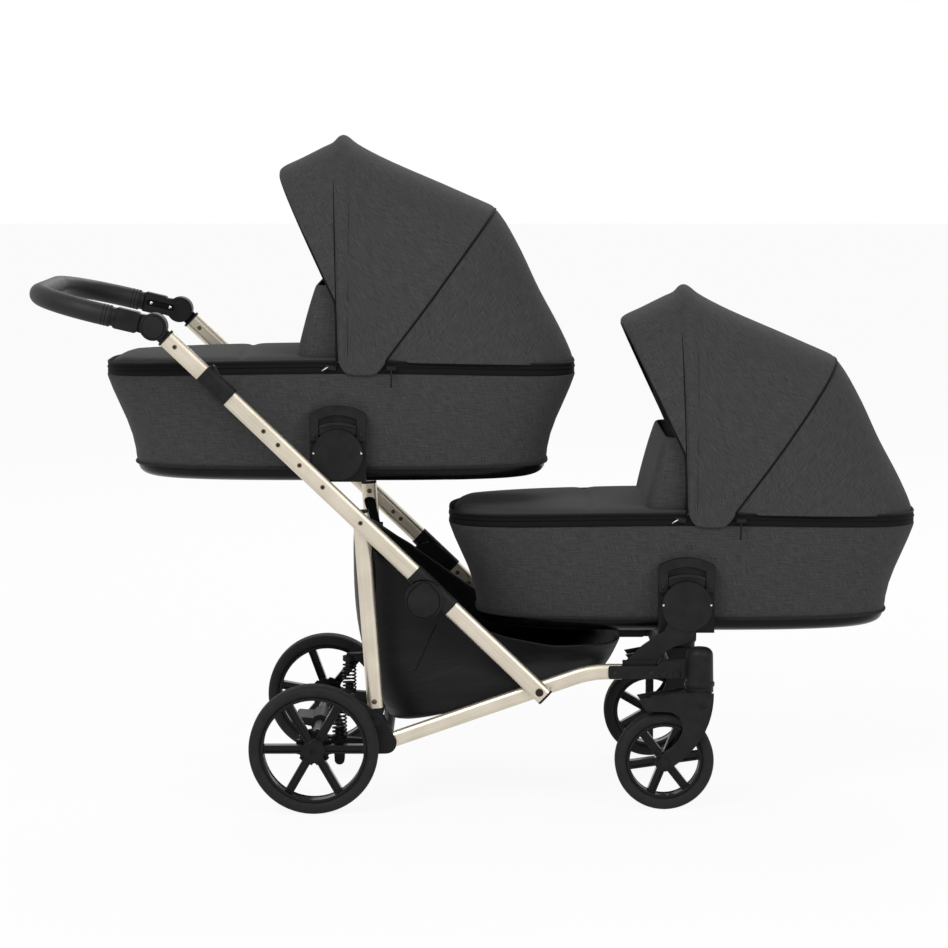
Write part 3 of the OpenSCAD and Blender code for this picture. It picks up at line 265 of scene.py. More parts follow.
black = moulded_plastic("black_plastic", colour(20, 20, 21), colour(31, 31, 32), 0.46, gloss=0.14)
black_base = moulded_plastic("cot_base_plastic", colour(6, 6, 7), colour(13, 13, 14), 0.3, 0.0011, gloss=0.14)
wheel_black = moulded_plastic("wheel_plastic", colour(7, 7, 8), colour(13, 13, 14), 0.18, 0.001, 0.00002, 0.2)
lever_black = moulded_plastic("lever_plastic", colour(16, 16, 17), colour(25, 25, 26), 0.34, 0.0009, 0.00003)
steel_black = moulded_plastic("black_steel", colour(15, 15, 16), colour(24, 24, 25), 0.28, 0.002, 0.00002, 0.14)
rubber = tyre_rubber("tyre_rubber")
bright = bright_steel("bright_steel", colour(182, 181, 178), colour(220, 219, 216), 0.2)
pin_dark = bright_steel("dark_pins", colour(38, 34, 30), colour(62, 57, 51), 0.4)
bronze = bright_steel("rivet_bronze", colour(74, 62, 48), colour(112, 97, 76), 0.35)
grip_cover = leatherette("leatherette")
heather = heather_cloth("heather_fabric")
heather_trim = heather_cloth("heather_piping", 0.62, False)
webbing = black_webbing("black_webbing")
bag_cloth = basket_cloth("basket_fabric")
cotton = cotton_cover("mattress_cover")
tube_main = champagne_tube("champagne_main_tube", 43.79)
tube_rail = champagne_tube("champagne_rail", -19.2)
tube_leg = champagne_tube("champagne_leg", -94.1)

# The frame's own solids keep their shapes and take these finishes
DRESS = {
    tube_main: ["main_tubes", "handle_tubes", "brace_tubes"],
    tube_rail: ["lower_rails"],
    tube_leg: ["leg_tubes"],
    pin_dark: ["frame_pins"],
    bronze: ["tube_rivets"],
    grip_cover: ["handle_grip"],
    rubber: ["rear_tyre_left", "rear_tyre_right", "front_tyre_left", "front_tyre_right"],
    wheel_black: ["rear_rim_left", "rear_rim_right", "front_rim_left", "front_rim_right"],
    steel_black: ["axle_shaft", "suspension_springs"],
    lever_black: ["upper_levers", "lower_levers", "tilt_button_left", "tilt_button_right"],
}
given = {node: finish for finish, named in DRESS.items() for node in named}
for node_name, solid in nodes.items():
    solid.data.materials.clear()
    solid.data.materials.append(given.get(node_name, black).material)


# Ways of making a piece


def piece(name, points, faces, finish, spots=None):
    """A smooth mesh piece; spots are the cloth's own coordinates, one for each corner of a face."""
    mesh = bpy.data.meshes.new(name)
    mesh.from_pydata([tuple(p) for p in points], [], faces)
    if spots is not None:
        layer = mesh.uv_layers.new(name="cloth")
        layer.data.foreach_set("uv", np.asarray(spots, np.float32).ravel())
    mesh.polygons.foreach_set("use_smooth", [True] * len(mesh.polygons))
    mesh.materials.append(finish.material)
    made = bpy.data.objects.new(name, mesh)
    bpy.context.scene.collection.objects.link(made)
    shaped = bmesh.new()
    shaped.from_mesh(mesh)
    bmesh.ops.recalc_face_normals(shaped, faces=shaped.faces)
    shaped.to_mesh(mesh)
    shaped.free()
    return made


def skin(name, rows, finish, ring=False, capped=False):
    """A mesh through rows of points; ring joins each row's ends, capped closes the first and last rows."""
    rows = np.asarray(rows, float)
    count, across = rows.shape[:2]
    looped = np.concatenate([rows, rows[:, :1]], 1) if ring else rows
    step = np.linalg.norm(np.diff(looped, axis=1), axis=2)
    u = np.concatenate([np.zeros((count, 1)), np.cumsum(step, 1)], 1)
    u -= u[:, u.shape[1] // 2][:, None]
    climb = np.linalg.norm(np.diff(looped, axis=0), axis=2)
    v = np.concatenate([np.zeros((1, looped.shape[1])), np.cumsum(climb, 0)], 0)
    faces, spots = [], []
    for i in range(count - 1):
        for j in range(looped.shape[1] - 1):
            k = (j + 1) % across
            faces.append((i * across + j, i * across + k, (i + 1) * across + k, (i + 1) * across + j))
            spots += [(u[a, b], v[a, b]) for a, b in ((i, j), (i, j + 1), (i + 1, j + 1), (i + 1, j))]
    points = rows.reshape(-1, 3)
    if capped:
        for row in (0, count - 1):
            middle = len(points)
            points = np.vstack([points, rows[row].mean(0)])
            for j in range(across):
                three = (row * across + j, row * across + (j + 1) % across, middle)
                faces.append(three)
                spots += [(points[n][0], points[n][1]) for n in three]
    return piece(name, points, faces, finish, spots)


def cord_along(name, path, radius, finish, closed=False, sides=10):
    """A round cord, rod or piping along a path."""
    path = np.asarray(path, float)
    count = len(path)
    ahead = np.roll(path, -1, 0) - np.roll(path, 1, 0)
    if not closed:
        ahead[0], ahead[-1] = path[1] - path[0], path[-1] - path[-2]
    ahead /= np.linalg.norm(ahead, axis=1)[:, None]
    up = np.array((0.0, 0.0, 1.0)) if abs(ahead[0][2]) < 0.9 else np.array((0.0, 1.0, 0.0))
    rows = []
    for i in range(count):
        up = up - ahead[i] * (up @ ahead[i])
        up /= np.linalg.norm(up)
        side = np.cross(ahead[i], up)
        angles = np.linspace(0, 2 * math.pi, sides, endpoint=False)
        rows.append(path[i] + radius * (np.outer(np.cos(angles), up) + np.outer(np.sin(angles), side)))
    if closed:
        rows.append(rows[0])
        made = skin(name, rows, finish, ring=True)
        shaped = bmesh.new()
        shaped.from_mesh(made.data)
        bmesh.ops.remove_doubles(shaped, verts=shaped.verts, dist=1e-6)
        shaped.to_mesh(made.data)
        shaped.free()
        return made
    return skin(name, rows, finish, ring=True, capped=True)


def settle(made):
    """Works a piece's modifiers into its mesh."""
    bpy.context.view_layer.update()
    held = made.evaluated_get(bpy.context.evaluated_depsgraph_get())
    mesh = bpy.data.meshes.new_from_object(held)
    made.modifiers.clear()
    made.data = mesh
    return made


def thicken(made, thickness, smooth=1):
    """Gives a sheet its thickness and one or more smoothing steps."""
    wall = made.modifiers.new("thickness", "SOLIDIFY")
    wall.thickness, wall.offset = thickness, 0.0
    if smooth:
        made.modifiers.new("smooth", "SUBSURF").levels = smooth
        made.modifiers["smooth"].render_levels = smooth
    return settle(made)


def smoothed(made, steps=1):
    soft = made.modifiers.new("smooth", "SUBSURF")
    soft.levels = soft.render_levels = steps
    return settle(made)


def blown(made, pressure, cap, voxel=0.005, frames=20):
    """Fills a closed form like a pad, by cloth simulation, with no point moving further than cap."""
    remesh = made.modifiers.new("remesh", "REMESH")
    remesh.mode, remesh.voxel_size, remesh.use_smooth_shade = "VOXEL", voxel, True
    settle(made)
    before = np.array([v.co for v in made.data.vertices])
    cloth = made.modifiers.new("fill", "CLOTH")
    cloth.settings.use_pressure = True
    cloth.settings.uniform_pressure_force = pressure
    cloth.settings.effector_weights.gravity = 0.0
    cloth.settings.quality = 5
    cloth.point_cache.frame_start, cloth.point_cache.frame_end = 1, frames
    for step in range(1, frames + 1):
        bpy.context.scene.frame_set(step)
    settle(made)
    after = np.array([v.co for v in made.data.vertices])
    moved = after - before
    far = np.maximum(np.linalg.norm(moved, axis=1) / cap, 1.0)[:, None]
    made.data.vertices.foreach_set("co", (before + moved / far).astype(np.float32).ravel())
    bpy.context.scene.frame_set(1)
    return smoothed(made)


def ripple(points, size, seed):
    """A soft unevenness of hand-sewn cloth, up to that size, added to the points."""
    points = np.asarray(points, float)
    pick = np.random.default_rng(seed)
    push = np.zeros(points.shape[:-1])
    for _ in range(9):
        wave = pick.normal(size=3)
        wave *= 2 * math.pi / pick.uniform(0.05, 0.16) / np.linalg.norm(wave)
        push += np.sin(points @ wave + pick.uniform(0, 6.28))
    return points * (1 + (size / 0.3) * (push / 9)[..., None] * np.array((0.3, 1.0, 0.3)))


# A carrycot's soft pieces, drawn about the middle of the rim

RIM_LENGTH, RIM_WIDTH = 0.427, 0.195
FLOOR_LENGTH, FLOOR_WIDTH = 0.373, 0.172
TUB_DEPTH, BAND_HEIGHT = 0.169, 0.022
HOOD_HALF, SEAM_HALF = 0.200, 0.2003
HOOD_PIVOT = (0.057, 0.012)


def oval(length, width, height, count=160, power=0.62):
    """A rounded-oval ring of evenly spaced points."""
    turn = np.linspace(0, 2 * math.pi, 1441)
    x = length * np.sign(np.cos(turn)) * np.abs(np.cos(turn)) ** power
    y = width * np.sign(np.sin(turn)) * np.abs(np.sin(turn)) ** power
    run = np.concatenate([[0], np.cumsum(np.hypot(np.diff(x), np.diff(y)))])
    even = np.linspace(0, run[-1], count, endpoint=False)
    return np.stack([np.interp(even, run, x), np.interp(even, run, y), np.full(count, height)], 1)


def wall_ring(height, ends=0.0, sides=0.0):
    """The tub's outline at a height below the rim, drawn in at its ends and at its sides."""
    f = min(1.0, max(0.0, -height / TUB_DEPTH))
    return oval(
        RIM_LENGTH + (FLOOR_LENGTH - RIM_LENGTH) * f - ends,
        RIM_WIDTH + (FLOOR_WIDTH - RIM_WIDTH) * f - sides,
        height,
    )


def hung(points):
    """Lets the rim drop a little towards both ends, as the real one does."""
    points = np.array(points, float)
    x, z = points[..., 0], points[..., 2]
    near = np.clip(1 - np.maximum(np.maximum(z - 0.035, -0.03 - z), 0) / 0.09, 0, 1)
    points[..., 2] = z + (0.004 - 0.012 * (x / RIM_LENGTH) ** 2) * near * near * (3 - 2 * near)
    return points


def make_tub():
    outer = [
        (-0.169, 0.0015, 0.0015), (-0.166, 0.0, 0.0), (-0.158, 0.0012, -0.001), (-0.145, 0.004, -0.002),
        (-0.12, 0.0065, -0.003), (-0.09, 0.006, -0.0035), (-0.06, 0.0038, -0.003), (-0.03, 0.0012, -0.0015),
        (-0.01, 0.0, -0.0005), (-0.002, 0.0, -0.0005), (0.0005, 0.0012, 0.0008),
    ]
    inner = [
        (0.0005, 0.0085, 0.0085), (-0.003, 0.0105, 0.0105), (-0.05, 0.0115, 0.0115), (-0.1, 0.012, 0.012),
        (-0.156, 0.0125, 0.0125), (-0.161, 0.018, 0.018),
    ]
    rows = [wall_ring(*row) for row in outer + inner]
    floor = wall_ring(-0.169, 0.03, 0.03)
    return skin("tub", ripple(hung([floor] + rows), 0.0011, 3), heather, ring=True, capped=True)


def make_base():
    profile = [
        (-0.1675, 0.0035), (-0.1695, 0.0005), (-0.176, 0.0012), (-0.182, 0.004), (-0.187, 0.009),
        (-0.191, 0.0175), (-0.1932, 0.028), (-0.194, 0.04),
    ]
    rows = [oval(FLOOR_LENGTH - inset, FLOOR_WIDTH - inset * 0.9, z) for z, inset in profile]
    rows.append(oval(FLOOR_LENGTH - 0.09, FLOOR_WIDTH - 0.09, -0.1935))
    return smoothed(skin("base", rows, black_base, ring=True, capped=True))


def make_zip_band():
    """The zip between the tub and what closes it: two tapes with the coil between them."""
    profile = [
        (-0.0030, 0.0), (-0.0002, -0.0006), (0.0006, 0.0008), (0.0006, 0.0085), (-0.0008, 0.0095),
        (0.001, 0.0105), (0.0018, 0.0125), (0.001, 0.0145), (-0.0008, 0.0155), (0.0004, 0.0165),
        (0.0004, 0.0208), (-0.0006, 0.0222), (-0.0030, 0.0215),
    ]
    rows = [oval(0.4248 + out, 0.1970 + out, z) for out, z in profile]
    return skin("zip_band", hung(rows + rows[:1]), webbing, ring=True)


def make_piping(height, length, width, radius, finish, name):
    return cord_along(name, hung(oval(length, width, height, 200)), radius, finish, closed=True, sides=8)


def make_mattress():
    low = 0.008 - TUB_DEPTH
    form = [
        (low, 0.024), (low + 0.004, 0.019), (low + 0.018, 0.014), (low + 0.028, 0.0145), (low + 0.036, 0.024),
        (low + 0.0385, 0.05),
    ]
    rows = [oval(FLOOR_LENGTH - inset, FLOOR_WIDTH - inset, z, 96) for z, inset in form]
    return blown(skin("mattress", rows, cotton, ring=True, capped=True), 3.0, 0.005, 0.006)


COVER_END = 0.02
COVER_CREASE = -0.172


def make_boot_cover():
    """Padded lid over the foot end, with one sewn channel across it."""
    stations = np.concatenate([
        [-0.4235, -0.4215, -0.416, -0.405],
        np.linspace(-0.385, COVER_CREASE - 0.02, 12),
        [COVER_CREASE - 0.008, COVER_CREASE, COVER_CREASE + 0.008],
        np.linspace(COVER_CREASE + 0.02, COVER_END, 10),
    ])
    top, under = [], []
    side = np.linspace(-1, 1, 41)
    for x in stations:
        reach = 0.1955 * (1 - min(0.9999, abs(x) / 0.4242) ** (2 / 0.62)) ** (0.62 / 2)
        y = reach * np.sign(side) * (1 - (1 - np.abs(side)) ** 1.35)
        edge = np.clip((1 - np.abs(y) / max(reach, 1e-6)) * reach / 0.03, 0, 1)
        toe = min(1.0, (x + 0.4235) / 0.035)
        crown = 0.009 * (1 - (y / 0.2) ** 2) * min(1.0, toe + 0.1)
        swell = np.sqrt(np.clip(edge * (2 - edge), 0, 1)) * math.sqrt(max(0.0, toe * (2 - toe)))
        dip = math.exp(-((x - COVER_CREASE) / 0.006) ** 2)
        height = 0.0145 + 0.0075 * swell + crown * swell - 0.006 * dip * swell
        top.append(np.stack([np.full(41, x), y, height], 1))
        under.append(np.stack([np.full(41, x), y * 0.985, 0.0115 + crown * 0.7 * swell], 1))
    rows = [np.concatenate([a, b[::-1]]) for a, b in zip(top, under)]
    made = skin("boot_cover", hung(rows), heather, ring=True, capped=True)
    return blown(made, 3.0, 0.004, 0.005)


def flap_line(x, half, z, inset):
    """One level of the wind flap: across the front and back along both sides."""
    h, f = half - inset, x + inset
    corner = [
        (f + 0.044, h), (f + 0.028, h), (f + 0.014, h - 0.002), (f + 0.005, h - 0.009), (f + 0.001, h - 0.022),
        (f, h - 0.04),
    ]
    side = [(x_at, h) for x_at in np.linspace(0.004, f + 0.052, 5)]
    across = [(f, y) for y in np.linspace(h - 0.06, 0.06 - h, 13)]
    line = side + corner + across + [(a, -b) for a, b in corner[::-1]] + [(a, -b) for a, b in side[::-1]]
    return np.array([(a, b, z) for a, b in line])


def make_wind_flap():
    """Low padded wall that stands on the cover and closes the hood's mouth."""
    levels = [
        (-0.080, 0.010, 0.176), (-0.0755, 0.026, 0.178), (-0.072, 0.045, 0.180), (-0.062, 0.085, 0.181),
        (-0.051, 0.125, 0.179), (-0.042, 0.152, 0.176), (-0.040, 0.157, 0.175),
    ]
    outer = [flap_line(x, half, z, 0.0) for x, z, half in levels]
    inner = [flap_line(x, half, z, 0.0055) for x, z, half in levels]
    rows = outer + [flap_line(-0.0395, 0.175, 0.1590, 0.0028)] + inner[::-1]
    made = skin("wind_flap", ripple(rows, 0.0012, 8), heather)
    shaped = bmesh.new()
    shaped.from_mesh(made.data)
    bmesh.ops.holes_fill(shaped, edges=[e for e in shaped.edges if e.is_boundary], sides=0)
    bmesh.ops.recalc_face_normals(shaped, faces=shaped.faces)
    shaped.to_mesh(made.data)
    shaped.free()
    return smoothed(made)


def arch(base, top, half, count=61, power=0.77):
    """A hoop from the left side over the top to the right one, in the plane of its base and top."""
    turn = np.linspace(0, math.pi, count)
    up = np.sin(turn) ** power
    up[0] = up[-1] = 0.0
    y = half * np.sign(np.cos(turn)) * np.abs(np.cos(turn)) ** power
    return np.stack([base[0] + (top[0] - base[0]) * up, y, base[1] + (top[1] - base[1]) * up], 1)


BOW_FOOT, BOW_TOP = (0.008, BAND_HEIGHT), (0.002, 0.411)
# Visor: how far each row reaches ahead of the bow at its top, from the edge back
VISOR = [
    (-0.111, -0.059), (-0.1125, -0.053), (-0.106, -0.046), (-0.092, -0.0395), (-0.077, -0.033), (-0.06, -0.0245),
    (-0.044, -0.0165), (-0.028, -0.0085), (-0.013, -0.003),
]
# Front panel, from the bow's sleeve back to the seam:
# foot along the rim, top along and up, half width, and the tab's lower edge
PANEL = [
    (0.002, -0.005, 0.4185, 0.2015, 0.0200), (0.008, 0.0046, 0.4234, 0.2030, 0.0070),
    (0.014, 0.0140, 0.4185, 0.2015, 0.0005), (0.018, 0.0220, 0.4105, 0.2000, -0.0015),
    (0.024, 0.0360, 0.4010, 0.1990, -0.0030), (0.032, 0.0700, 0.3830, 0.1980, -0.0040),
    (0.041, 0.1100, 0.3650, 0.1975, -0.0042), (0.050, 0.1540, 0.3460, 0.1972, -0.0042),
    (0.058, 0.1920, 0.3300, 0.1975, -0.0040), (0.066, 0.2280, 0.3140, 0.1980, -0.0035),
    (0.074, 0.2620, 0.2995, 0.1990, 0.0030), (0.080, 0.2745, 0.2940, 0.2000, 0.0110),
    (0.085, 0.2800, 0.2885, 0.2000, 0.0190),
]
# Rear panel, from the seam to the rim: foot, and top along and up
REAR = [
    (0.0865, 0.2812, 0.2865), (0.088, 0.2850, 0.2830), (0.0905, 0.2940, 0.2710), (0.093, 0.3040, 0.2560),
    (0.098, 0.3300, 0.2075), (0.102, 0.3450, 0.1740), (0.106, 0.3605, 0.1405), (0.110, 0.3770, 0.1110),
    (0.113, 0.3940, 0.0825), (0.117, 0.4105, 0.0530), (0.119, 0.4190, 0.0340), (0.121, 0.4220, 0.0235),
    (0.1212, 0.4215, 0.0190),
]


def tabbed(row, lower):
    """Lengthens a hoop down both sides, to the lower edge of its tab."""
    foot = row[0][2]
    drop = np.linspace(1, 0.2, 5)[:, None] * np.array((0, 0, lower - foot))
    left = row[0] + drop + np.array((0, 0.0012, 0))
    right = row[-1] + drop[::-1] - np.array((0, 0.0012, 0))
    return np.concatenate([left, row, right])


def visor_row(reach):
    """The front hoop pushed ahead, most at its top."""
    row = arch(BOW_FOOT, BOW_TOP, HOOD_HALF)
    share = np.clip(((row[:, 2] - BOW_FOOT[1]) / (BOW_TOP[1] - BOW_FOOT[1]) - 0.22) / 0.78, 0.08, 1.0)
    return row + share[:, None] * np.array((reach[0], 0, reach[1]))


def make_hood_front():
    rows = [tabbed(visor_row(reach), 0.0205) for reach in VISOR]
    rows += [tabbed(arch((foot, BAND_HEIGHT), (x, z), half), lower) for foot, x, z, half, lower in PANEL]
    return thicken(skin("hood_front", ripple(hung(rows), 0.0016, 5), heather), 0.0024)


def make_hood_rear():
    rows = [
        arch((foot, min(BAND_HEIGHT, z)), (x, z), HOOD_HALF - 0.0022 * math.sin(math.pi * i / (len(REAR) - 1)))
        for i, (foot, x, z) in enumerate(REAR)
    ]
    return thicken(skin("hood_rear", ripple(hung(rows), 0.0016, 7), heather), 0.0024)


def hoop_piping(name, row, out, radius, finish):
    """Piping sewn along a hoop, standing proud of it."""
    row = np.array(row, float)
    middle = np.array((row[:, 0].mean(), 0, 0.1))
    away = row - middle
    away[:, 0] = 0
    away /= np.linalg.norm(away, axis=1)[:, None]
    return cord_along(name, hung(row + away * out), radius, finish, sides=8)


def make_bow(name, top, half):
    foot = np.array(HOOD_PIVOT)
    lean = np.array(top) - foot
    lean /= np.linalg.norm(lean)
    inner = arch(foot + lean * 0.006, np.array(top) - lean * 0.0135, half, 49, 0.84)
    return cord_along(name, inner, 0.0036, black, sides=12)


TEMPLATES = {
    "tub": make_tub(),
    "base": make_base(),
    "zip_band": make_zip_band(),
    "base_piping": make_piping(
        -0.1685, FLOOR_LENGTH + 0.0018, FLOOR_WIDTH + 0.0018, 0.0026, heather_trim, "base_piping"
    ),
    "cover_piping": make_piping(BAND_HEIGHT - 0.0002, 0.4243, 0.1965, 0.0017, heather_trim, "cover_piping"),
    "mattress": make_mattress(),
    "boot_cover": make_boot_cover(),
    "wind_flap": make_wind_flap(),
    "hood_front": make_hood_front(),
    "hood_rear": make_hood_rear(),
    "visor_binding": hoop_piping("visor_binding", visor_row(VISOR[0]), 0.0, 0.0021, webbing),
    "bow_seam": hoop_piping(
        "bow_seam", arch((0.0005, BAND_HEIGHT), (-0.0095, 0.4095), SEAM_HALF), 0.0006, 0.0010, webbing
    ),
    "sleeve_seam": hoop_piping(
        "sleeve_seam", arch((0.0178, BAND_HEIGHT), (0.0212, 0.4112), SEAM_HALF), 0.0006, 0.0008, heather_trim
    ),
    "hood_seam": hoop_piping(
        "hood_seam", arch((0.0858, BAND_HEIGHT), (0.2812, 0.2880), SEAM_HALF), 0.0006, 0.0017, webbing
    ),
    "front_bow": make_bow("front_bow", (0.0, 0.417), 0.1905),
    "rear_bow": make_bow("rear_bow", (0.2820, 0.2850), 0.1825),
}

STANDS_FOR = {
    "tub": "cot_tub", "base": "cot_base", "mattress": "mattress", "boot_cover": "boot_cover",
    "hood_front": "hood_front", "hood_rear": "hood_rear", "front_bow": "front_bow", "rear_bow": "rear_bow",
}
RIDES = {
    "visor_binding": "hood_front", "bow_seam": "hood_front", "sleeve_seam": "hood_front", "front_bow": "hood_front",
    "hood_seam": "hood_rear", "rear_bow": "hood_rear",
}
# Flat size and area of each sheet, and the fill of each padded piece
SHEETS = {"hood_front": ((1.02, 0.42), 0.266), "hood_rear": ((0.98, 0.32), 0.161)}
PADS = {"tub": 0.7, "mattress": 0.55, "boot_cover": 0.55, "wind_flap": 0.55}


for cot, at in COTS.items():
    for kind, template in TEMPLATES.items():
        made = bpy.data.objects.new(f"{cot}_{kind}_piece", template.data.copy())
        made.data.transform(Matrix.Translation(at))
        bpy.context.scene.collection.objects.link(made)
        if kind in STANDS_FOR:
            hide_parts(f"{cot}_{STANDS_FOR[kind]}")
        if kind == "hood_front":
            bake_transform(made)
        elif kind == "hood_rear":
            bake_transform(made)
        else:
            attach(made, f"{cot}_{RIDES.get(kind, 'cot')}")
        kind in SHEETS
        kind in PADS
for template in TEMPLATES.values():
    bpy.data.objects.remove(template)


# Shopping basket


def make_basket():
    """A sagging bag between the rails, hung from the legs and the rails."""
    across = np.linspace(0, 2 * math.pi, 120, endpoint=False)

    def floor_at(x):
        return 0.138 + (x + 0.157) * 0.105 / 0.45

    def top_at(x):
        return np.interp(x, (-0.225, -0.205, 0.02, 0.14, 0.3), (0.482, 0.474, 0.312, 0.288, 0.288))

    rows = []
    for f in (0.0, 0.02, 0.06, 0.14, 0.25, 0.38, 0.5, 0.62, 0.74, 0.86, 0.95, 1.0):
        bend = np.sign(np.cos(across)) * np.abs(np.cos(across)) ** 0.5
        x = 0.038 - 0.014 * f * f + (0.190 + 0.054 * f - 0.012 * (f < 0.01)) * bend
        x = x - 0.028 * math.sin(math.pi * f) * np.clip(-bend, 0, 1) ** 3
        pull = 0.016 * math.sin(max(0, f - 0.3) * 4.4)
        y = (0.2152 - pull - 0.012 * (f < 0.01)) * np.sign(np.sin(across)) * np.abs(np.sin(across)) ** 0.42
        low, high = floor_at(x), top_at(x)
        sag = -0.008 * math.sin(math.pi * f) * np.cos(across) ** 2
        rows.append(np.stack([x, y, low + (high - low) * f + sag], 1))
    inner = [row * np.array((0.985, 0.985, 1.0)) + np.array((0.0005, 0, 0.002)) for row in rows[::-1]]
    rows = rows + inner
    return smoothed(skin("basket_bag", ripple(rows, 0.008, 21), bag_cloth, ring=True, capped=True))


basket = make_basket()
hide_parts("basket")
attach(basket, "chassis")
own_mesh(basket)


# Coil springs of the rear axle


SPRING_X, SPRING_Y, SPRING_FOOT, SPRING_HEAD = -0.240, 0.225, 0.1335, 0.1838
SPRING_TURNS, SPRING_RADIUS = 7.4, 0.012


def make_spring(side, name):
    turns = np.linspace(0, SPRING_TURNS * 2 * math.pi, 240)
    rise = np.linspace(SPRING_FOOT, SPRING_HEAD, 240)
    x, y = SPRING_X + SPRING_RADIUS * np.cos(turns), side * SPRING_Y + SPRING_RADIUS * np.sin(turns)
    return cord_along(f"spring_{name}", np.stack([x, y, rise], 1), 0.0017, steel_black, sides=10)


springs = [make_spring(side, name) for side, name in SIDES]
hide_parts("suspension_springs")
for spring in springs:
    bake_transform(spring)


# Small trim


STUD_SIDES = 18


def studs(name, body, finish, radius, height, places):
    """Round heads on faces across the pram; a place's last value is 1 if it faces left and -1 if it faces right."""
    turn = np.linspace(0, 2 * math.pi, STUD_SIDES, endpoint=False)
    points, faces = [], []
    for x, y, z, way in places:
        start = len(points)
        for share, lift in ((1.0, -0.0006), (1.0, 0.6 * height), (0.78, height)):
            points += [
                (x + radius * share * math.cos(a), y + way * lift, z + radius * share * math.sin(a)) for a in turn
            ]
        points.append((x, y + way * height, z))
        for low in (start, start + STUD_SIDES):
            high = low + STUD_SIDES
            for i in range(STUD_SIDES):
                j = (i + 1) % STUD_SIDES
                faces.append((low + i, low + j, high + j, high + i))
        last, middle = start + 2 * STUD_SIDES, start + 3 * STUD_SIDES
        faces += [(last + i, last + (i + 1) % STUD_SIDES, middle) for i in range(STUD_SIDES)]
    made = piece(name, points, faces, finish)
    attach(made, body)


def both(places):
    """The same places on the left and on the right, each facing away from the middle."""
    return [(x, side * y, z, side * way) for x, y, z, way in places for side in (-1, 1)]


def tube_at(along):
    """A place along the main tube, from the handle's pivot."""
    return HANDLE_X + TUBE_AHEAD * along, HANDLE_Z - TUBE_DOWN * along


# Black discs on the rivets of the main tubes: painted shade in the rivets' holes
studs("rivet_hole_shades", "push_frame", webbing, 0.0019, 0.0003,
      both([(tube_at(t)[0], 0.2595, tube_at(t)[1], 1) for t in (0.051, 0.265, 0.300, 0.352, 0.408, 0.500)]))
studs("brace_rivets", "lower_arms", bronze, 0.0042, 0.0012,
      both([(tube_at(t)[0], 0.240, tube_at(t)[1], -1) for t in (0.733, 0.763)]))
studs("leg_rivets", "rear_legs", bronze, 0.0046, 0.0012,
      both([(-0.2000, 0.216, 0.516, -1), (-0.1775, 0.234, 0.192, 1)]))
for end, body, at in (("rear", "push_frame", COTS["upper"]), ("front", "chassis", COTS["lower"])):
    studs(f"disc_pins_{end}", body, bright, 0.0019, 0.0008,
          both([(at.x + s * 0.0425, 0.218, at.z - 0.137, 1) for s in (-1, 1)]))
for cot, at in COTS.items():
    studs(f"{cot}_bracket_screws", f"{cot}_cot", pin_dark, 0.0021, 0.0002,
          both([(at.x + s * 0.042, 0.2056, at.z - 0.105, 1) for s in (-1, 1)]))
for side, name in SIDES:
    studs(f"fork_screw_{name}", f"caster_{name}", steel_black, 0.0058, 0.0014,
          [(0.4057, side * 0.265, 0.1905, side)])


ARM_Y, GRIP_RADIUS, ARM_SLOT_Y = 0.240, 0.0190, 0.233


def handle_at(along, across=0.0):
    """A place in the handle's own tilt, that far back along an arm and down from it."""
    lean = math.radians(HANDLE_LEAN)
    x = HANDLE_X - along * math.cos(lean) - across * math.sin(lean)
    return x, HANDLE_Z + along * math.sin(lean) - across * math.cos(lean)


studs("arm_screws", "handle", bright, 0.0034, 0.0014,
      both([(handle_at(t)[0], ARM_SLOT_Y, handle_at(t)[1], -1) for t in (0.018, 0.055)]))
for side, name in SIDES:
    for step, along in enumerate((0.0805, 0.0865, 0.0925)):
        turn = np.linspace(0, 2 * math.pi, 40, endpoint=False)
        ring_path = []
        for a in turn:
            x, z = handle_at(along, GRIP_RADIUS * math.sin(a))
            ring_path.append((x, side * (ARM_Y + GRIP_RADIUS * math.cos(a)), z))
        stitch = cord_along(f"grip_stitch_{name}_{step}", ring_path, 0.0006, webbing, closed=True, sides=6)
        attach(stitch, "handle")


def block(name, middle, size, finish, lean=0.0, edge=0.0012):
    """A small moulded block with rounded edges, leaning about the axis across the pram."""
    made = piece(name, [(0, 0, 0)], [], finish)
    shaped = bmesh.new()
    bmesh.ops.create_cube(shaped, size=1.0, matrix=Matrix.Diagonal((*size, 1.0)))
    bmesh.ops.bevel(shaped, geom=shaped.edges[:], offset=edge, segments=3, affect="EDGES", profile=0.5)
    bmesh.ops.transform(
        shaped, matrix=Matrix.Translation(middle) @ Matrix.Rotation(math.radians(lean), 4, "Y"), verts=shaped.verts
    )
    for face in shaped.faces:
        face.smooth = True
    shaped.to_mesh(made.data)
    shaped.free()
    return made


def trim(made, body):
    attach(made, body)


# A dark plate on the floor of the slot on the inner face of each handle arm: painted shade in the slot
for side, name in SIDES:
    x, z = handle_at(0.0365)
    made = block(
        f"arm_slot_shade_{name}", (x, side * 0.2329, z), (0.052, 0.001, 0.0105), webbing, HANDLE_LEAN, 0.0004
    )
    trim(made, "handle")

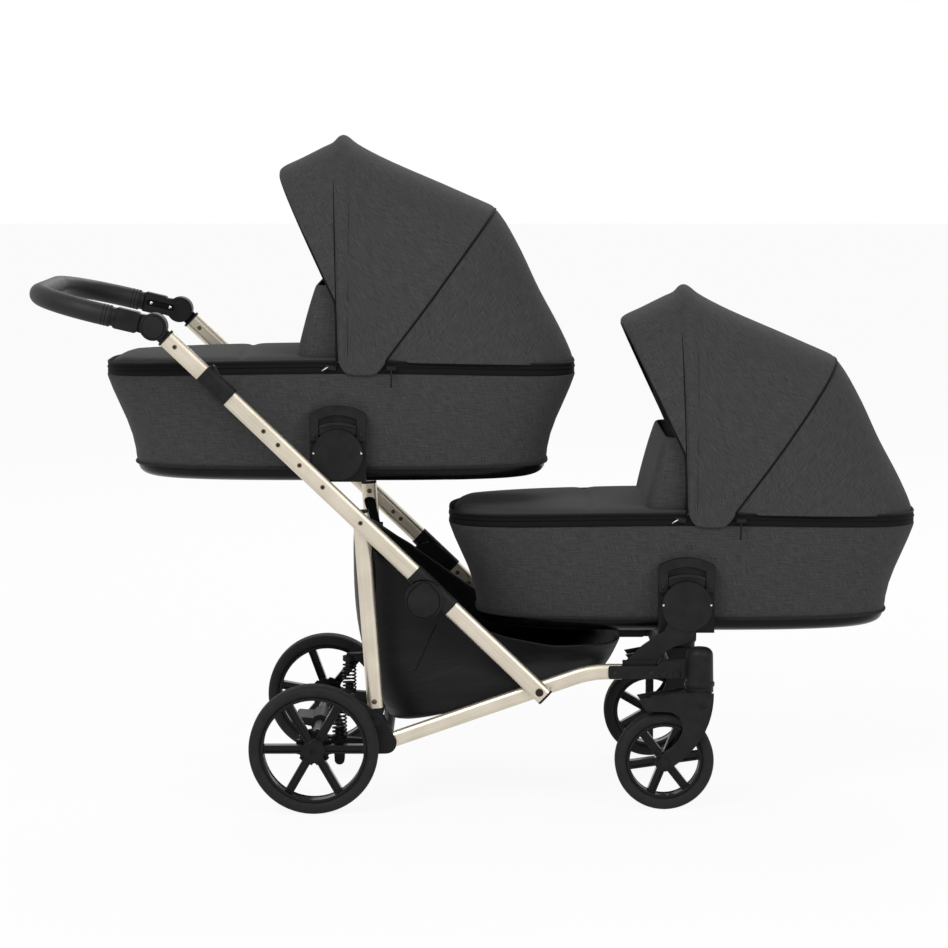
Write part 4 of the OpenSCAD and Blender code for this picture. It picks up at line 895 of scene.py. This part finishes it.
# Zip sliders of the boot cover and of the hood, on the right side, and the rolled lining in the hood's mouth
ZIP_PULL = [(-0.016, -0.2025, 0.0155), (-0.021, -0.2035, 0.0125), (-0.0275, -0.2035, 0.0085)]
HOOD_PULL = [
    (0.0955, -0.2050, 0.0110), (0.0955, -0.2052, 0.0020), (0.0952, -0.2042, -0.0100), (0.0950, -0.2028, -0.0210),
]
LINING_ROLL = [
    (0.004, 0.180, 0.130), (-0.009, 0.178, 0.152), (-0.021, 0.174, 0.178), (-0.031, 0.168, 0.205),
    (-0.040, 0.160, 0.235),
]
for cot, at in COTS.items():
    place, body = np.array(at), f"{cot}_cot"
    made = block(f"{cot}_zip_slider", at + Vector((-0.012, -0.1995, 0.0135)), (0.019, 0.005, 0.008), black, 12)
    trim(made, body)
    made = cord_along(f"{cot}_zip_pull", place + np.array(ZIP_PULL), 0.0012, bright, sides=8)
    trim(made, body)
    made = block(f"{cot}_hood_slider", at + Vector((0.096, -0.2034, 0.0125)), (0.017, 0.005, 0.007), black)
    trim(made, body)
    made = cord_along(f"{cot}_hood_pull", place + np.array(HOOD_PULL), 0.0016, black, sides=8)
    trim(made, body)
    for side, name in SIDES:
        path = place + np.array(LINING_ROLL) * np.array((1, side, 1))
        made = smoothed(cord_along(f"{cot}_lining_roll_{name}", path, 0.0085, heather_trim, sides=10))
        trim(made, f"{cot}_hood_front")

# Straps that hang the basket from the legs, as places along and up with half the width, and the basket's side seams
STRAP_Y = 0.2138
STRAP = [
    (-0.2005, 0.506, 0.0125), (-0.1985, 0.492, 0.0125), (-0.1920, 0.470, 0.0095), (-0.1850, 0.450, 0.0085),
    (-0.1815, 0.415, 0.0085), (-0.1820, 0.374, 0.0085),
]
for side, name in SIDES:
    rows = [[(x - half, side * STRAP_Y, z), (x + half, side * STRAP_Y, z)] for x, z, half in STRAP]
    trim(thicken(skin(f"basket_strap_{name}", rows, webbing), 0.0018), "rear_legs")
    made = block(f"strap_buckle_{name}", (-0.1850, side * 0.2120, 0.4500), (0.022, 0.005, 0.014), black)
    trim(made, "rear_legs")
    seam = []
    for f in np.linspace(0, 1, 12):
        guess = Vector((-0.0705 - 0.0403 * f, side * 0.23, 0.3226 - 0.0769 * f))
        seam.append(tuple(basket.closest_point_on_mesh(guess)[1]))
    made = cord_along(f"basket_seam_{name}", seam, 0.0009, webbing, sides=6)
    trim(made, "chassis")
    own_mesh(made)


# Camera, light and floor

scene = bpy.context.scene
scene.view_settings.view_transform = "Standard"
camera = bpy.data.objects.new("camera", bpy.data.cameras.new("camera"))
camera.data.lens, camera.data.sensor_width = 118.29, 36.0
camera.location = (0.0, -5.70, 1.23)
camera.rotation_euler = (math.radians(90 - 6.57), 0.0, 0.0)
camera.data.clip_end = 100.0
scene.collection.objects.link(camera)
scene.camera = camera


def lamp(name, place, target, size, power):
    light = bpy.data.lights.new(name, "AREA")
    light.shape, light.size, light.energy = "DISK", size, power
    made = bpy.data.objects.new(name, light)
    made.location = place
    made.rotation_euler = (Vector(target) - Vector(place)).to_track_quat("-Z", "Y").to_euler()
    scene.collection.objects.link(made)


lamp("key", (-2.6, -4.2, 4.6), (0.0, 0.0, 0.6), 3.0, 190.0)
lamp("fill", (3.8, -4.0, 2.6), (0.1, 0.0, 0.5), 3.5, 80.0)
lamp("back", (0.6, 4.2, 4.2), (0.0, 0.0, 0.6), 3.0, 90.0)


class Studio(Finish):
    """A finish whose camera, mirrored and seen-through rays get plain white."""

    def __init__(self, holder, shader):
        self.material, self.tree, self.shader = holder, holder.node_tree, holder.node_tree.nodes[shader]

    def whitened(self, white, share=1.0):
        path = self.node("LightPath")
        rays = [
            Shade(self, path.socket.node.outputs[f"Is {ray} Ray"]) for ray in ("Camera", "Glossy", "Transmission")
        ]
        seen = rays[0].sum("MAXIMUM", rays[0].sum("MAXIMUM", rays[0], rays[1]), rays[2])
        lit = Shade(self, self.shader.outputs[0])
        return self.node("MixShader", i0=seen * share, i1=lit, i2=white)


world = bpy.data.worlds.new("studio")
world.use_nodes = True
scene.world = world
sky = Studio(world, "Background").set(Color=(1, 1, 1, 1), Strength=0.5)
backdrop = sky.whitened(sky.node("Background", Color=(1, 1, 1, 1), Strength=1.0))
sky.feed(sky.tree.nodes["World Output"].inputs["Surface"], backdrop)

ground = bpy.data.materials.new("studio_floor")
ground.use_nodes = True
floor_finish = Studio(ground, "Principled BSDF")
floor_finish.set(Base_Color=(0.86, 0.86, 0.86, 1), Roughness=0.9, Specular_IOR_Level=0.1)
floor_look = floor_finish.whitened(floor_finish.node("Emission", Color=(1, 1, 1, 1), Strength=1.0), 0.92)
floor_finish.feed(floor_finish.tree.nodes["Material Output"].inputs["Surface"], floor_look)
floor = piece("floor", [(-30, -30, 0), (30, -30, 0), (30, 30, 0), (-30, 30, 0)], [(0, 1, 2, 3)], floor_finish)
